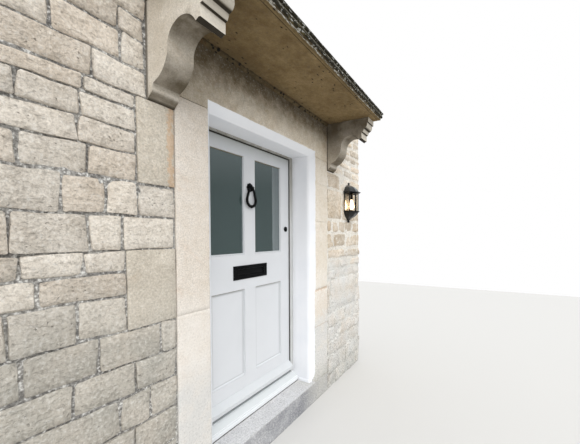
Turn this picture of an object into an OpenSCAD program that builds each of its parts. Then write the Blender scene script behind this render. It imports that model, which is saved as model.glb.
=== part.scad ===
// Entrance porch of a stone cottage, cut out of its wall as one reusable piece.
// A doorway with a chamfered dressed-stone surround stands in a rubble wall. A flat
// moulded stone hood on two scroll brackets shelters it. A half-glazed timber door
// opens inwards, and a lantern hangs on the wall beside it.
// Millimetres, Z up. X runs along the wall, and -Y points out to the street.
// The origin is on the ground below the middle of the doorway, on the wall's outer face.

/* [Wall] */
// Half the width of the piece of wall
wall_half_w = 1500; // [1400:10:1800]
// Height of the piece of wall
wall_h = 2850; // [2700:10:3200]
// Thickness of the wall
wall_t = 480; // [420:10:560]

/* [Doorway] */
// Width of the doorway between the outer arrises of its chamfer
opening_w = 1092; // [1000:2:1160]
// Height of the lintel's outer arris above the ground
opening_top = 2122; // [2080:1:2200]
// Width and depth of the chamfer around the doorway
chamfer = 48; // [30:1:60]
// Depth of the dressed stones, from the wall's face to the timber frame
surround_d = 206; // [160:1:230]
// Height of the stone step
step_h = 168; // [120:1:190]

/* [Hood] */
// Distance of the hood's middle to the right of the doorway's middle
hood_x = 8; // [-20:1:20]
// Height of the hood's underside
soffit_z = 2410; // [2370:1:2480]
// How far the hood stands out from the wall
hood_out = 480; // [430:1:520]
// Half the hood's width
hood_half_w = 888; // [880:1:940]
// Height of the hood's moulded edge
edge_h = 76; // [56:1:80]
// How far the hood's lower arris lies behind its widest line
edge_inset = 20; // [12:1:24]
// How much the weathered top rises from its edge to the wall
top_rise = 28; // [20:1:70]
// How deep the hood and its brackets are built into the wall
tail_d = 100; // [60:5:150]

/* [Brackets] */
// Half the distance between the brackets, which is where the dressed stones end
bracket_in = 742; // [700:1:750]
// Width of a bracket
bracket_w = 126; // [100:1:130]
// How far a bracket stands out at its top
bracket_out = 394; // [370:1:410]
// Height of a bracket
bracket_h = 412; // [404:1:430]
// Radius of the bracket's hollow curve
cove_r = 90; // [84:1:92]

/* [Door frame] */
// Width of a frame member, seen from the street
frame_w = 75; // [60:1:90]
// Width of the frame jambs that the stone leaves in sight
jamb_show = 32; // [20:1:40]
// Height of the frame head that the stone leaves in sight
head_show = 15; // [10:1:30]
// Thickness of the stop in front of the leaf
stop_t = 12; // [8:1:16]
// How far the leaf laps behind the stop
lap = 12; // [8:1:16]
// Gap between the leaf's edges and the frame
leaf_gap = 7; // [6:0.5:9]
// Gap between the closed leaf and its stop
stop_gap = 1; // [0.5:0.5:2]

/* [Sill] */
// Distance of the sill's front behind the wall's face
sill_y = 152; // [120:1:165]
// Height of the sill's flat top above the step
sill_h = 70; // [60:1:90]
// Height of the sill's upright front
sill_front_h = 30; // [20:1:40]
// Depth of the small step along the sill's front
sill_step = 10; // [6:1:14]

/* [Door leaf] */
// Thickness of the leaf
leaf_t = 44; // [40:1:50]
// Gap under the leaf
foot_gap = 8; // [6:1:12]
// Width of a stile
stile_w = 128; // [110:1:140]
// Width of the uprights between the panes and between the panels
muntin_w = 110; // [90:1:130]
// Distance of those uprights' middle right of the leaf's middle
muntin_x = -8; // [-20:1:20]
// Height of the top rail
top_rail_h = 107; // [90:1:130]
// Height of the bottom rail
bottom_rail_h = 184; // [170:1:220]
// Height of the middle rail
mid_rail_h = 242; // [200:1:260]
// Height of the middle rail's lower edge above the leaf's foot
mid_rail_up = 793; // [740:1:830]
// Width of the beads and mouldings round panes and panels
bead_w = 4; // [3:0.5:12]
// Height of the bead or moulding at the foot of a pane or panel
foot_bead = 9; // [6:1:14]
// Distance of the beads behind the leaf's face
bead_back = 4; // [1:0.5:6]
// Distance of the panes and panels behind the leaf's face
infill_back = 12; // [10:1:18]
// Thickness of a pane
pane_t = 4; // [3:1:6]
// Thickness of a panel
panel_t = 12; // [9:1:15]

/* [Weatherboard] */
// Height of its lower edge above the leaf's foot
board_up = 31; // [16:1:40]
// Height of the board
board_h = 64; // [50:1:80]
// How far it stands out from the leaf
board_out = 46; // [30:1:48]
// Clearance between its ends and the frame's stops
board_gap = 11; // [10:1:16]

/* [Letter plate] */
// Width of the plate
plate_w = 340; // [300:1:350]
// Height of the plate
plate_h = 96; // [84:1:110]
// Thickness of the plate
plate_t = 4; // [3:0.5:6]
// Width of the mouth in the plate
mouth_w = 250; // [220:1:252]
// Height of the mouth in the plate
mouth_h = 44; // [38:1:44]
// Width of the flap
flap_w = 262; // [258:1:264]
// Height of the flap below its pivot
flap_h = 54; // [50:1:56]
// Thickness of the flap
flap_t = 3; // [2:0.5:4]
// Radius of the flap's pivot pins
flap_pin_r = 1.5; // [1:0.1:2]

/* [Knocker] */
// Height of the knocker's rose above the leaf's foot
rose_up = 1509; // [1450:1:1560]
// Radius of the rose
rose_r = 31; // [26:1:36]
// Outer half width of the ring
ring_half_w = 52; // [44:1:56]
// Radius of the ring's bar
ring_bar_r = 7; // [5:0.5:8]
// Distance from the knocker's pivot to the bottom of the ring
ring_drop = 144; // [130:1:155]
// Distance of the pivot in front of the leaf
pivot_out = 18; // [16:1:24]
// Radius of the pivot pin
pivot_r = 3; // [2.5:0.5:4]

/* [Lock] */
// Height of the lock cylinder above the leaf's foot
lock_up = 1220; // [1100:1:1300]
// Radius of the lock's rim
lock_rim_r = 17; // [14:1:20]
// Radius of the lock's barrel
lock_r = 11; // [9:0.5:13]

/* [Hinges] */
// Height of a hinge
hinge_h = 100; // [80:1:120]
// Radius of a hinge's knuckle
knuckle_r = 5; // [4:0.5:6]
// Thickness of a hinge's plates
hinge_t = 2.2; // [1.8:0.1:2.6]
// Distance of the outer hinges' middles from the ends of the leaf
hinge_end = 200; // [150:5:260]

/* [Lantern] */
// Distance of the lantern's middle to the right of the doorway's middle
lantern_x = 1188; // [1120:1:1260]
// Height of the lantern's lower rim
lantern_z = 1652; // [1500:1:1750]
// Height of the lantern's cage
cage_h = 196; // [160:1:230]
// Half width of the cage at the wall
cage_half_w = 90; // [75:1:105]
// Depth of the cage's straight sides
cage_side_d = 64; // [50:1:75]
// Half width of the cage's front pane
cage_front_w = 39; // [30:1:50]
// Depth of the cage
cage_d = 108; // [90:1:120]
// Height of the lantern's roof
roof_h = 84; // [70:1:100]
// Height of the bowl under the cage
bowl_h = 84; // [70:1:100]
// Radius of the balls at the top and the bottom
ball_r = 12; // [9:1:14]

/* [Hidden] */
$fn = 48;

// Half widths of the doorway, from the wall's face inwards
arris_half = opening_w / 2;
reveal_half = arris_half - chamfer;
stop_half = reveal_half - jamb_show;
leaf_half = stop_half + lap;
rebate_half = leaf_half + leaf_gap;
frame_half = stop_half + frame_w;

// Heights of the doorway and the leaf
reveal_top = opening_top - chamfer;
stop_top = reveal_top - head_show;
leaf_top = stop_top + lap;
rebate_top = leaf_top + leaf_gap;
frame_top = stop_top + frame_w;
sill_top = step_h + sill_h;
leaf_foot = sill_top + foot_gap;

// Depths behind the wall's face
frame_y = surround_d;
leaf_y = frame_y + stop_t + stop_gap;
leaf_back = leaf_y + leaf_t;
infill_y = leaf_y + infill_back;

// Ends of the dressed stones and places of the brackets
surround_l = hood_x - bracket_in;
surround_r = hood_x + bracket_in;

// Heights of the leaf's rails
mid_rail_z = leaf_foot + mid_rail_up;
mid_rail_top = mid_rail_z + mid_rail_h;
bottom_rail_top = leaf_foot + bottom_rail_h;
top_rail_z = leaf_top - top_rail_h;
stile_in = leaf_half - stile_w;

// Letter plate, its mouth's slot through the rail and the flap's pivot
plate_z = mid_rail_z + mid_rail_h / 2 - 3;
flap_gap = 0.6;
barrel_r = flap_t + 0.4;
flap_pivot_y = leaf_y + flap_gap + barrel_r;
flap_pivot_z = plate_z + flap_h / 2;
lug_t = 4;
lug_gap = 3;
slot_half_w = flap_w / 2 + lug_gap + lug_t;
slot_half_h = flap_h / 2 + 6;
pin_play = 0.2;

// Knocker
rose_z = leaf_foot + rose_up;
pivot_y = leaf_y - pivot_out;
ring_r = ring_half_w - ring_bar_r;
ring_eye_x = 20;
ring_centre = ring_drop - ring_half_w;
eye_w = 12;
eye_r = 8;
boss_r = 13;

// Hinges
hinge_x = -(leaf_half + rebate_half) / 2;
hinge_y = leaf_back + knuckle_r;
hinge_zs = [leaf_foot + hinge_end, (leaf_foot + leaf_top) / 2, leaf_top - hinge_end];
hinge_pin_r = 2.5;
plate_back = 30;
knuckle_gap = 0.5;

// Lantern
cage_top = lantern_z + cage_h;
rim_h = 10;
rim_in = 0.86;
post_r = 5;
back_t = 4;
lamp_y = -46;
holder_h = 72;

function arc(cx, cy, r, a0, a1, n) =
    [for (i = [0:n]) let (a = a0 + (a1 - a0) * i / n) [cx + r * cos(a), cy + r * sin(a)]];

module block(x0, x1, y0, y1, z0, z1) {
    translate([x0, y0, z0]) cube([x1 - x0, y1 - y0, z1 - z0]);
}

// A YZ outline carried along X, and an XZ outline carried along Y
module along_x(x0, x1) {
    translate([x0, 0, 0]) rotate([90, 0, 90]) linear_extrude(x1 - x0) children();
}

module along_y(y0, y1) {
    translate([0, y1, 0]) rotate([90, 0, 0]) linear_extrude(y1 - y0) children();
}

module mirror_x(side) {
    mirror([side < 0 ? 1 : 0, 0, 0]) children();
}

// Masonry

// The space that the brackets' and the hood's tails fill
module bracket_tail(side) {
    x = side < 0 ? surround_l - bracket_w : surround_r;
    block(x, x + bracket_w, 0, tail_d, soffit_z - bracket_h, soffit_z);
}

module hood_tail() {
    w = hood_half_w - edge_inset;
    block(hood_x - w, hood_x + w, 0, tail_d, soffit_z, soffit_z + edge_h);
}

module wall_side(side) {
    edge = side < 0 ? -surround_l : surround_r;
    difference() {
        mirror_x(side) {
            block(edge, wall_half_w, 0, wall_t, 0, soffit_z);
            block(frame_half, edge, surround_d, wall_t, 0, frame_top);
        }
        bracket_tail(side);
    }
}

module wall_left() {
    color("#c9bfae") wall_side(-1);
}

module wall_right() {
    color("#d6c8ae") wall_side(1);
}

module wall_over() {
    color("#d2c5ad") difference() {
        union() {
            block(-wall_half_w, wall_half_w, 0, wall_t, soffit_z, wall_h);
            block(surround_l, surround_r, surround_d, wall_t, frame_top, soffit_z);
        }
        hood_tail();
    }
}

// The chamfered doorway as a solid, which the dressed stones are cut back from
module doorway() {
    far = surround_d + 1;
    intersection() {
        linear_extrude(opening_top) polygon([
            [-arris_half - 1, -1], [arris_half + 1, -1], [reveal_half, chamfer],
            [reveal_half, far], [-reveal_half, far], [-reveal_half, chamfer]
        ]);
        along_x(-arris_half - 1, arris_half + 1) polygon([
            [-1, 0], [far, 0], [far, reveal_top], [chamfer, reveal_top], [-1, opening_top + 1]
        ]);
    }
}

module jamb_left() {
    color("#dccdb2") difference() {
        block(surround_l, -reveal_half, 0, surround_d, step_h, reveal_top);
        doorway();
    }
}

module jamb_right() {
    color("#dccdb2") difference() {
        block(reveal_half, surround_r, 0, surround_d, step_h, reveal_top);
        doorway();
    }
}

module lintel() {
    color("#c8b799") difference() {
        block(surround_l, surround_r, 0, surround_d, reveal_top, soffit_z);
        doorway();
    }
}

module threshold() {
    color("#b9b9b6") {
        block(surround_l, surround_r, 0, surround_d, 0, step_h);
        block(-frame_half, frame_half, surround_d, wall_t, 0, step_h);
    }
}

// Half outline of the hood's moulded edge: a fillet, an ovolo, a groove and a roll
function edge_line(w) = let (
    fillet_h = edge_h * 0.18,
    ovolo_r = edge_inset * 0.72,
    groove = edge_inset * 0.34,
    ovolo_top = fillet_h + ovolo_r,
    roll_r = (edge_h - ovolo_top - 6) / 2
) concat(
    [[w - edge_inset, 0], [w - edge_inset, fillet_h]],
    arc(w - edge_inset, ovolo_top, ovolo_r, -90, 0, 6),
    [[w - groove, ovolo_top + 2], [w - groove, ovolo_top + 6]],
    arc(w - roll_r * 0.5, ovolo_top + 6 + roll_r, roll_r * 0.5, -90, 90, 8)
);

module hood() {
    front = edge_line(hood_out);
    end = edge_line(hood_half_w);
    top = soffit_z + edge_h + top_rise;
    color("#8d8576") {
        intersection() {
            along_x(hood_x - hood_half_w - 1, hood_x + hood_half_w + 1) polygon(concat(
                [[0, soffit_z]],
                [for (p = front) [-p[0], soffit_z + p[1]]],
                [[0, top]]
            ));
            along_y(-hood_out - 1, 0) polygon(concat(
                [for (p = end) [hood_x + p[0], soffit_z + p[1]]],
                [[hood_x + hood_half_w * 0.6, top + 1], [hood_x - hood_half_w * 0.6, top + 1]],
                [for (i = [len(end) - 1:-1:0]) [hood_x - end[i][0], soffit_z + end[i][1]]]
            ));
        }
        hood_tail();
    }
}

// Outline of a bracket: distance out from the wall and height below the soffit. From the
// top down it has a square head, an ovolo, a small step, a nib, a hollow curve that turns
// into a full one, and a pendant block against the wall.
function bracket_line() = let (
    head_h = 42,
    ovolo_out = bracket_out - 11,
    ovolo_r = 36,
    nib_out = bracket_out - 61,
    nib_z = -166,
    cove_x = nib_out - 105,
    cove_z = -bracket_h + 190,
    nib_a = acos((nib_out - 26 - cove_x) / cove_r),
    full_r = cove_x - cove_r - 4,
    block_out = 34
) concat(
    [[0, 0], [bracket_out, 0], [bracket_out, -head_h]],
    [[ovolo_out, -head_h - 1], [ovolo_out, -head_h - 16]],
    arc(ovolo_out - ovolo_r, -head_h - 16, ovolo_r, 0, -78, 7),
    [[nib_out + 11, -118], [nib_out - 1, -122], [nib_out, nib_z - 4]],
    [[nib_out - 10, nib_z - 4]],
    arc(cove_x, cove_z, cove_r, nib_a, 180, 14),
    arc(4, cove_z, full_r, -6, -74, 9),
    [[block_out, -bracket_h + 46], [block_out, -bracket_h + 40]],
    arc(block_out - 26, -bracket_h + 40, 26, 0, -70, 5),
    [[0, -bracket_h]]
);

module bracket(side) {
    x = side < 0 ? surround_l - bracket_w : surround_r;
    along_x(x, x + bracket_w) polygon([for (p = bracket_line()) [-p[0], soffit_z + p[1]]]);
    bracket_tail(side);
}

module bracket_left() {
    color("#a89c86") bracket(-1);
}

module bracket_right() {
    color("#a89c86") bracket(1);
}

// Timber frame and sill

module frame_jamb(side) {
    color("#cdd1cc") mirror_x(side) difference() {
        block(stop_half, frame_half, frame_y, leaf_back, sill_top, stop_top);
        block(stop_half - 1, rebate_half, frame_y + stop_t, leaf_back + 1, sill_top - 1, stop_top + 1);
    }
}

module frame_jamb_left() {
    frame_jamb(-1);
}

module frame_jamb_right() {
    frame_jamb(1);
}

module frame_head() {
    color("#cdd1cc") difference() {
        block(-frame_half, frame_half, frame_y, leaf_back, stop_top, frame_top);
        block(-rebate_half, rebate_half, frame_y + stop_t, leaf_back + 1, stop_top - 1, rebate_top);
    }
}

module timber_sill() {
    step_z = step_h + sill_front_h;
    color("#d3d6d2") {
        along_x(-reveal_half, reveal_half) polygon([
            [sill_y, step_h], [sill_y, step_z - 4], [sill_y + 4, step_z],
            [sill_y + sill_step, step_z + 2], [sill_y + sill_step, step_z + 7],
            [frame_y, sill_top], [frame_y, step_h]
        ]);
        block(-frame_half, frame_half, frame_y, leaf_back, step_h, sill_top);
    }
}

// Door leaf

module stile_hinge() {
    color("#d4d9d5") block(-leaf_half, -stile_in, leaf_y, leaf_back, leaf_foot, leaf_top);
}

module stile_lock() {
    color("#d4d9d5") difference() {
        block(stile_in, leaf_half, leaf_y, leaf_back, leaf_foot, leaf_top);
        lock_place() translate([0, 0, -leaf_t - 1]) cylinder(r = lock_r, h = leaf_t + 2);
    }
}

module rail(z0, z1) {
    block(-stile_in, stile_in, leaf_y, leaf_back, z0, z1);
}

module top_rail() {
    color("#d4d9d5") rail(top_rail_z, leaf_top);
}

module mid_rail() {
    color("#d4d9d5") difference() {
        rail(mid_rail_z, mid_rail_top);
        block(
            -slot_half_w, slot_half_w, leaf_y - 1, leaf_back + 1,
            plate_z - slot_half_h, plate_z + slot_half_h
        );
    }
}

module bottom_rail() {
    color("#d4d9d5") rail(leaf_foot, bottom_rail_top);
}

module muntin(z0, z1) {
    color("#d4d9d5")
        block(muntin_x - muntin_w / 2, muntin_x + muntin_w / 2, leaf_y, leaf_back, z0, z1);
}

module muntin_upper() {
    muntin(mid_rail_top, top_rail_z);
}

module muntin_lower() {
    muntin(bottom_rail_top, mid_rail_z);
}

// A pane or a panel that fills one opening of the leaf, and the beads in front and behind
function field(side) =
    side < 0 ? [-stile_in, muntin_x - muntin_w / 2] : [muntin_x + muntin_w / 2, stile_in];

module infill(side, z0, z1, t) {
    x = field(side);
    block(x[0], x[1], infill_y, infill_y + t, z0, z1);
}

module beads(side, z0, z1, t) {
    x = field(side);
    depth = infill_back - bead_back;
    for (y = [leaf_y + bead_back, infill_y + t]) difference() {
        block(x[0], x[1], y, y + depth, z0, z1);
        block(x[0] + bead_w, x[1] - bead_w, y - 1, y + depth + 1, z0 + foot_bead, z1 - bead_w);
    }
}

module pane_left() {
    color("#39424a", 0.6) infill(-1, mid_rail_top, top_rail_z, pane_t);
}

module pane_right() {
    color("#39424a", 0.6) infill(1, mid_rail_top, top_rail_z, pane_t);
}

module bead_left() {
    color("#c9cfcb") beads(-1, mid_rail_top, top_rail_z, pane_t);
}

module bead_right() {
    color("#c9cfcb") beads(1, mid_rail_top, top_rail_z, pane_t);
}

module panel_left() {
    color("#d0d6d2") infill(-1, bottom_rail_top, mid_rail_z, panel_t);
}

module panel_right() {
    color("#d0d6d2") infill(1, bottom_rail_top, mid_rail_z, panel_t);
}

module moulding_left() {
    color("#c9cfcb") beads(-1, bottom_rail_top, mid_rail_z, panel_t);
}

module moulding_right() {
    color("#c9cfcb") beads(1, bottom_rail_top, mid_rail_z, panel_t);
}

module weatherboard() {
    w = stop_half - board_gap;
    z0 = leaf_foot + board_up;
    color("#d8dcd9") along_x(-w, w) polygon([
        [leaf_y, z0 + board_h], [leaf_y - 5, z0 + board_h],
        [leaf_y - board_out + 7, z0 + board_h * 0.52], [leaf_y - board_out, z0 + board_h * 0.42],
        [leaf_y - board_out, z0 + 4], [leaf_y - board_out + 5, z0],
        [leaf_y - board_out * 0.6, z0], [leaf_y - board_out * 0.6, z0 + 5],
        [leaf_y - board_out * 0.4, z0 + 5], [leaf_y - board_out * 0.4, z0], [leaf_y, z0]
    ]);
}

// Fittings of the door

// The lock's axis, with the origin on the leaf's face and Z pointing out of it
module lock_place() {
    translate([leaf_half - stile_w / 2, leaf_y, leaf_foot + lock_up]) rotate([90, 0, 0]) children();
}

module lock_cylinder() {
    color("#1d1d1f") lock_place() difference() {
        union() {
            translate([0, 0, -leaf_t]) cylinder(r = lock_r, h = leaf_t);
            cylinder(r = lock_rim_r, h = 5);
            cylinder(r = lock_r, h = 9);
        }
        translate([-1.2, -4.5, 4]) cube([2.4, 9, 6]);
    }
}

module pin_x(x0, x1, y, z, r) {
    translate([x0, y, z]) rotate([0, 90, 0]) cylinder(r = r, h = x1 - x0);
}

module letter_plate() {
    lug_x = flap_w / 2 + lug_gap;
    color("#202022") difference() {
        union() {
            block(
                -plate_w / 2, plate_w / 2, leaf_y - plate_t, leaf_y,
                plate_z - plate_h / 2, plate_z + plate_h / 2
            );
            for (x = [-lug_x - lug_t, lug_x]) block(
                x, x + lug_t, leaf_y - 1, flap_pivot_y + 4, flap_pivot_z - 4, flap_pivot_z + 4
            );
        }
        block(
            -mouth_w / 2, mouth_w / 2, leaf_y - plate_t - 1, leaf_y + 1,
            plate_z - mouth_h / 2, plate_z + mouth_h / 2
        );
        pin_x(-plate_w, plate_w, flap_pivot_y, flap_pivot_z, flap_pin_r + pin_play);
    }
}

module letter_flap() {
    reach = flap_w / 2 + lug_gap + lug_t - 1;
    color("#28282a") {
        block(
            -flap_w / 2, flap_w / 2, flap_pivot_y - barrel_r, flap_pivot_y - barrel_r + flap_t,
            flap_pivot_z - flap_h, flap_pivot_z
        );
        pin_x(-flap_w / 2, flap_w / 2, flap_pivot_y, flap_pivot_z, barrel_r);
        pin_x(-reach, reach, flap_pivot_y, flap_pivot_z, flap_pin_r);
    }
}

// A thin scalloped plate under a round one, with the boss that holds the pivot pin
module knocker_rose() {
    lobes = 12;
    scallop = rose_r * 0.09;
    color("#1b1b1d") translate([muntin_x, 0, 0]) {
        translate([0, leaf_y, rose_z]) rotate([90, 0, 0]) {
            linear_extrude(4) polygon([
                for (a = [0:5:355]) let (r = rose_r - scallop + scallop * cos(a * lobes))
                    [r * cos(a), r * sin(a)]
            ]);
            cylinder(r = rose_r * 0.72, h = 6);
            cylinder(r = boss_r, h = pivot_out + 8);
        }
        pin_x(-ring_eye_x - eye_w / 2 - 1, ring_eye_x + eye_w / 2 + 1, pivot_y, rose_z, pivot_r);
    }
}

// A tapered bar from the pivot's eye to the point where it meets the ring's arc
module ring_cheek(side, a) {
    from = [side * ring_eye_x, 0];
    to = [side * ring_r * cos(a), -ring_centre + ring_r * sin(a)];
    run = to - from;
    translate([from[0], pivot_y, rose_z]) rotate([0, atan2(run[0], run[1]), 0])
        translate([0, 0, eye_r / 2])
        cylinder(r1 = 2.8, r2 = ring_bar_r * 0.75, h = norm(run) - eye_r / 2 + 3);
}

module knocker_ring() {
    tangent_a = atan2(ring_centre, ring_eye_x) - acos(ring_r / norm([ring_centre, ring_eye_x]));
    color("#1f1f21") translate([muntin_x, 0, 0]) difference() {
        union() {
            for (side = [-1, 1]) {
                pin_x(
                    side * ring_eye_x - eye_w / 2, side * ring_eye_x + eye_w / 2,
                    pivot_y, rose_z, eye_r
                );
                ring_cheek(side, tangent_a);
            }
            translate([0, pivot_y, rose_z - ring_centre]) rotate([90, tangent_a - 180, 0])
                rotate_extrude(angle = 180 + 2 * tangent_a)
                translate([ring_r, 0]) circle(r = ring_bar_r);
            pin_x(
                -ring_bar_r * 1.2, ring_bar_r * 1.2,
                pivot_y, rose_z - ring_centre - ring_r, ring_bar_r * 1.4
            );
        }
        pin_x(-ring_half_w, ring_half_w, pivot_y, rose_z, pivot_r + pin_play);
    }
}

// One butt hinge's half: its plate, the knuckles it carries and the strips that join them
module hinge_half(x, spans) {
    block(x, x + hinge_t, hinge_y - knuckle_r - plate_back, hinge_y - knuckle_r - 1, -hinge_h / 2, hinge_h / 2);
    for (s = spans) difference() {
        union() {
            translate([hinge_x, hinge_y, s[0]]) cylinder(r = knuckle_r, h = s[1] - s[0]);
            block(x, x + hinge_t, hinge_y - knuckle_r - 2, hinge_y, s[0], s[1]);
        }
        translate([hinge_x, hinge_y, s[0] - 1])
            cylinder(r = hinge_pin_r + pin_play, h = s[1] - s[0] + 2);
    }
}

module hinge_frame_side() {
    third = hinge_h / 6;
    color("#8f8a80") for (z = hinge_zs) translate([0, 0, z]) {
        hinge_half(-rebate_half, [[-hinge_h / 2, -third], [third, hinge_h / 2]]);
        translate([hinge_x, hinge_y, -hinge_h / 2]) cylinder(r = hinge_pin_r, h = hinge_h);
        for (z0 = [-hinge_h / 2, hinge_h / 2 - 4]) translate([hinge_x, hinge_y, z0])
            cylinder(r = knuckle_r, h = 4);
    }
}

module hinge_door_side() {
    third = hinge_h / 6 - knuckle_gap;
    color("#8f8a80") for (z = hinge_zs) translate([0, 0, z])
        hinge_half(-leaf_half - hinge_t, [[-third, third]]);
}

// Lantern: half of an eight-sided lantern, flat against the wall

function cage_plan(s) = [
    for (p = [
        [-cage_half_w, 0], [-cage_half_w, -cage_side_d], [-cage_front_w, -cage_d],
        [cage_front_w, -cage_d], [cage_half_w, -cage_side_d], [cage_half_w, 0]
    ]) p * s
];

// Closed solid through rings of the lantern's plan, each given as [height, scale]
module plan_loft(rings) {
    n = len(cage_plan(1));
    points = [for (r = rings) for (p = cage_plan(r[1])) [p[0], p[1], r[0]]];
    sides = [
        for (k = [0:len(rings) - 2]) for (i = [0:n - 1])
            [k * n + i, k * n + n + i, k * n + n + (i + 1) % n, k * n + (i + 1) % n]
    ];
    low = [for (i = [0:n - 1]) i];
    high = [for (i = [n - 1:-1:0]) (len(rings) - 1) * n + i];
    polyhedron(points, concat(sides, [low, high]));
}

module cage_ring(z, outer, h) {
    translate([0, 0, z]) linear_extrude(h) difference() {
        polygon(cage_plan(outer));
        polygon([for (p = cage_plan(rim_in)) [p[0], p[1] == 0 ? 1 : p[1]]]);
    }
}

module at_lantern() {
    translate([lantern_x, 0, 0]) children();
}

module lantern_back() {
    w = cage_half_w * rim_in;
    color("#1a1a1b") at_lantern() block(-w, w, -back_t, 0, lantern_z, cage_top);
}

module lantern_roof() {
    color("#26282b") at_lantern() {
        plan_loft([
            [cage_top, 1.17], [cage_top + 7, 1.17], [cage_top + 12, 1.02],
            [cage_top + roof_h * 0.42, 0.9], [cage_top + roof_h * 0.68, 0.7],
            [cage_top + roof_h * 0.86, 0.46], [cage_top + roof_h, 0.2]
        ]);
        translate([0, -ball_r, cage_top + roof_h - 6]) cylinder(r = ball_r * 0.5, h = 10);
        translate([0, -ball_r, cage_top + roof_h + ball_r]) sphere(r = ball_r);
    }
}

module lantern_cage() {
    color("#1a1a1b") at_lantern() {
        cage_ring(lantern_z, 1.06, rim_h);
        cage_ring(cage_top - rim_h, 1, rim_h);
        for (p = cage_plan(0.95)) translate([p[0], p[1] == 0 ? -post_r : p[1], lantern_z + rim_h - 1])
            cylinder(r = post_r, h = cage_h - 2 * rim_h + 2);
    }
}

module lantern_glass() {
    color("#fff4dc", 0.4) at_lantern() translate([0, 0, lantern_z + rim_h])
        linear_extrude(cage_h - 2 * rim_h) difference() {
            polygon(cage_plan(0.885));
            polygon([for (p = cage_plan(0.865)) [p[0], p[1] == 0 ? 1 : p[1]]]);
            translate([-cage_half_w, -back_t]) square([2 * cage_half_w, back_t + 1]);
        }
}

module lantern_bowl() {
    color("#1a1a1b") at_lantern() {
        plan_loft([
            [lantern_z - bowl_h, 0.2], [lantern_z - bowl_h * 0.8, 0.34],
            [lantern_z - bowl_h * 0.56, 0.66], [lantern_z - bowl_h * 0.3, 0.86],
            [lantern_z - bowl_h * 0.12, 0.94], [lantern_z, 0.96]
        ]);
        translate([0, -ball_r, lantern_z - bowl_h - 4]) cylinder(r = ball_r * 0.5, h = 10);
        translate([0, -ball_r, lantern_z - bowl_h - ball_r]) sphere(r = ball_r);
    }
}

module lamp_holder() {
    color("#2c2a26") at_lantern() translate([0, lamp_y, cage_top - holder_h]) {
        cylinder(r = 13, h = holder_h);
        translate([0, 0, holder_h - 6]) cylinder(r = 20, h = 6);
    }
}

module lamp_bulb() {
    color("#ffd9a0") at_lantern() translate([0, lamp_y, cage_top - holder_h]) rotate_extrude()
        polygon(concat(
            [[0, 0], [0, -96]],
            arc(0, -68, 28, -80, 20, 8),
            [[14, -22], [12, 0]]
        ));
}

wall_left();
wall_right();
wall_over();
jamb_left();
jamb_right();
lintel();
threshold();
hood();
bracket_left();
bracket_right();
frame_jamb_left();
frame_jamb_right();
frame_head();
timber_sill();
hinge_frame_side();
stile_hinge();
stile_lock();
top_rail();
mid_rail();
bottom_rail();
muntin_upper();
muntin_lower();
pane_left();
pane_right();
bead_left();
bead_right();
panel_left();
panel_right();
moulding_left();
moulding_right();
weatherboard();
hinge_door_side();
letter_plate();
letter_flap();
knocker_rose();
knocker_ring();
lock_cylinder();
lantern_back();
lantern_roof();
lantern_cage();
lantern_glass();
lantern_bowl();
lamp_holder();
lamp_bulb();
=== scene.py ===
import math
import random
from contextlib import contextmanager
from functools import partial

import bpy
from mathutils import Matrix, Vector, noise


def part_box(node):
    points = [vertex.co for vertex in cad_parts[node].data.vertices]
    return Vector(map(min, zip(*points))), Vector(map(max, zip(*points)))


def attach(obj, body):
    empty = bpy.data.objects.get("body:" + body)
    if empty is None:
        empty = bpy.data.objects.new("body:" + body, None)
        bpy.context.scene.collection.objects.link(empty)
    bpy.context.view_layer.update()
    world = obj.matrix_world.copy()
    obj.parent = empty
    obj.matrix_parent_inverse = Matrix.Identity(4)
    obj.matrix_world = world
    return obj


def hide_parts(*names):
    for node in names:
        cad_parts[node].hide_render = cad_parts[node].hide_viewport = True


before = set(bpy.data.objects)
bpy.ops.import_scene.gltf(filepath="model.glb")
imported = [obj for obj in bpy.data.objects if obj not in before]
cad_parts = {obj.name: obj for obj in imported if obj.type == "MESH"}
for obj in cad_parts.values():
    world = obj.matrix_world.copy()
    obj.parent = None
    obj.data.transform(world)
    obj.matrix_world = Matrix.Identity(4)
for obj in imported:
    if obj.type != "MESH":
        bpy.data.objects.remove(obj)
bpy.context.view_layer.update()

# Viewpoint: at eye height left of the doorway, close to the wall, looking along it towards
# the lantern. The lens is wide, and its frame is shifted a little.
scene = bpy.context.scene
lens = bpy.data.cameras.new("doorway_view")
lens.sensor_width, lens.lens = 36, 18.77
lens.shift_x, lens.shift_y = -0.0776, 0.0359
camera = bpy.data.objects.new("doorway_view", lens)
scene.collection.objects.link(camera)
scene.camera = camera
yaw, pitch, roll = (math.radians(angle) for angle in (27.083, -1.396, -0.065))
ahead = Vector((math.cos(yaw) * math.cos(pitch), math.sin(yaw) * math.cos(pitch), math.sin(pitch)))
level = Vector((math.sin(yaw), -math.cos(yaw), 0))
above = level.cross(ahead)
across = level * math.cos(roll) + above * math.sin(roll)
upright = above * math.cos(roll) - level * math.sin(roll)
turn = Matrix((across, upright, -ahead)).transposed().to_4x4()
camera.matrix_world = Matrix.Translation((-1.6602, -1.3110, 1.4135)) @ turn


# Daylight: a pale overcast sky, a broad soft light from the street side, and a pale floor
# that throws light back under the hood. Glossy surfaces mirror dimmer surroundings.
class Wire:
    """An output of a node. wire["Name"] is another output of the same node, and
    arithmetic with wires adds Math nodes to their tree."""

    def __init__(self, socket):
        self.socket, self.tree = socket, socket.id_data

    def __getitem__(self, key):
        return Wire(self.socket.node.outputs[key])

    def maths(self, operation, *others, clamp=False):
        return put("Math", dict(enumerate((self, *others))), operation=operation, use_clamp=clamp)

    def __add__(self, other):
        return self.maths("ADD", other)

    def __sub__(self, other):
        return self.maths("SUBTRACT", other)

    def __mul__(self, other):
        return self.maths("MULTIPLY", other)


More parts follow.
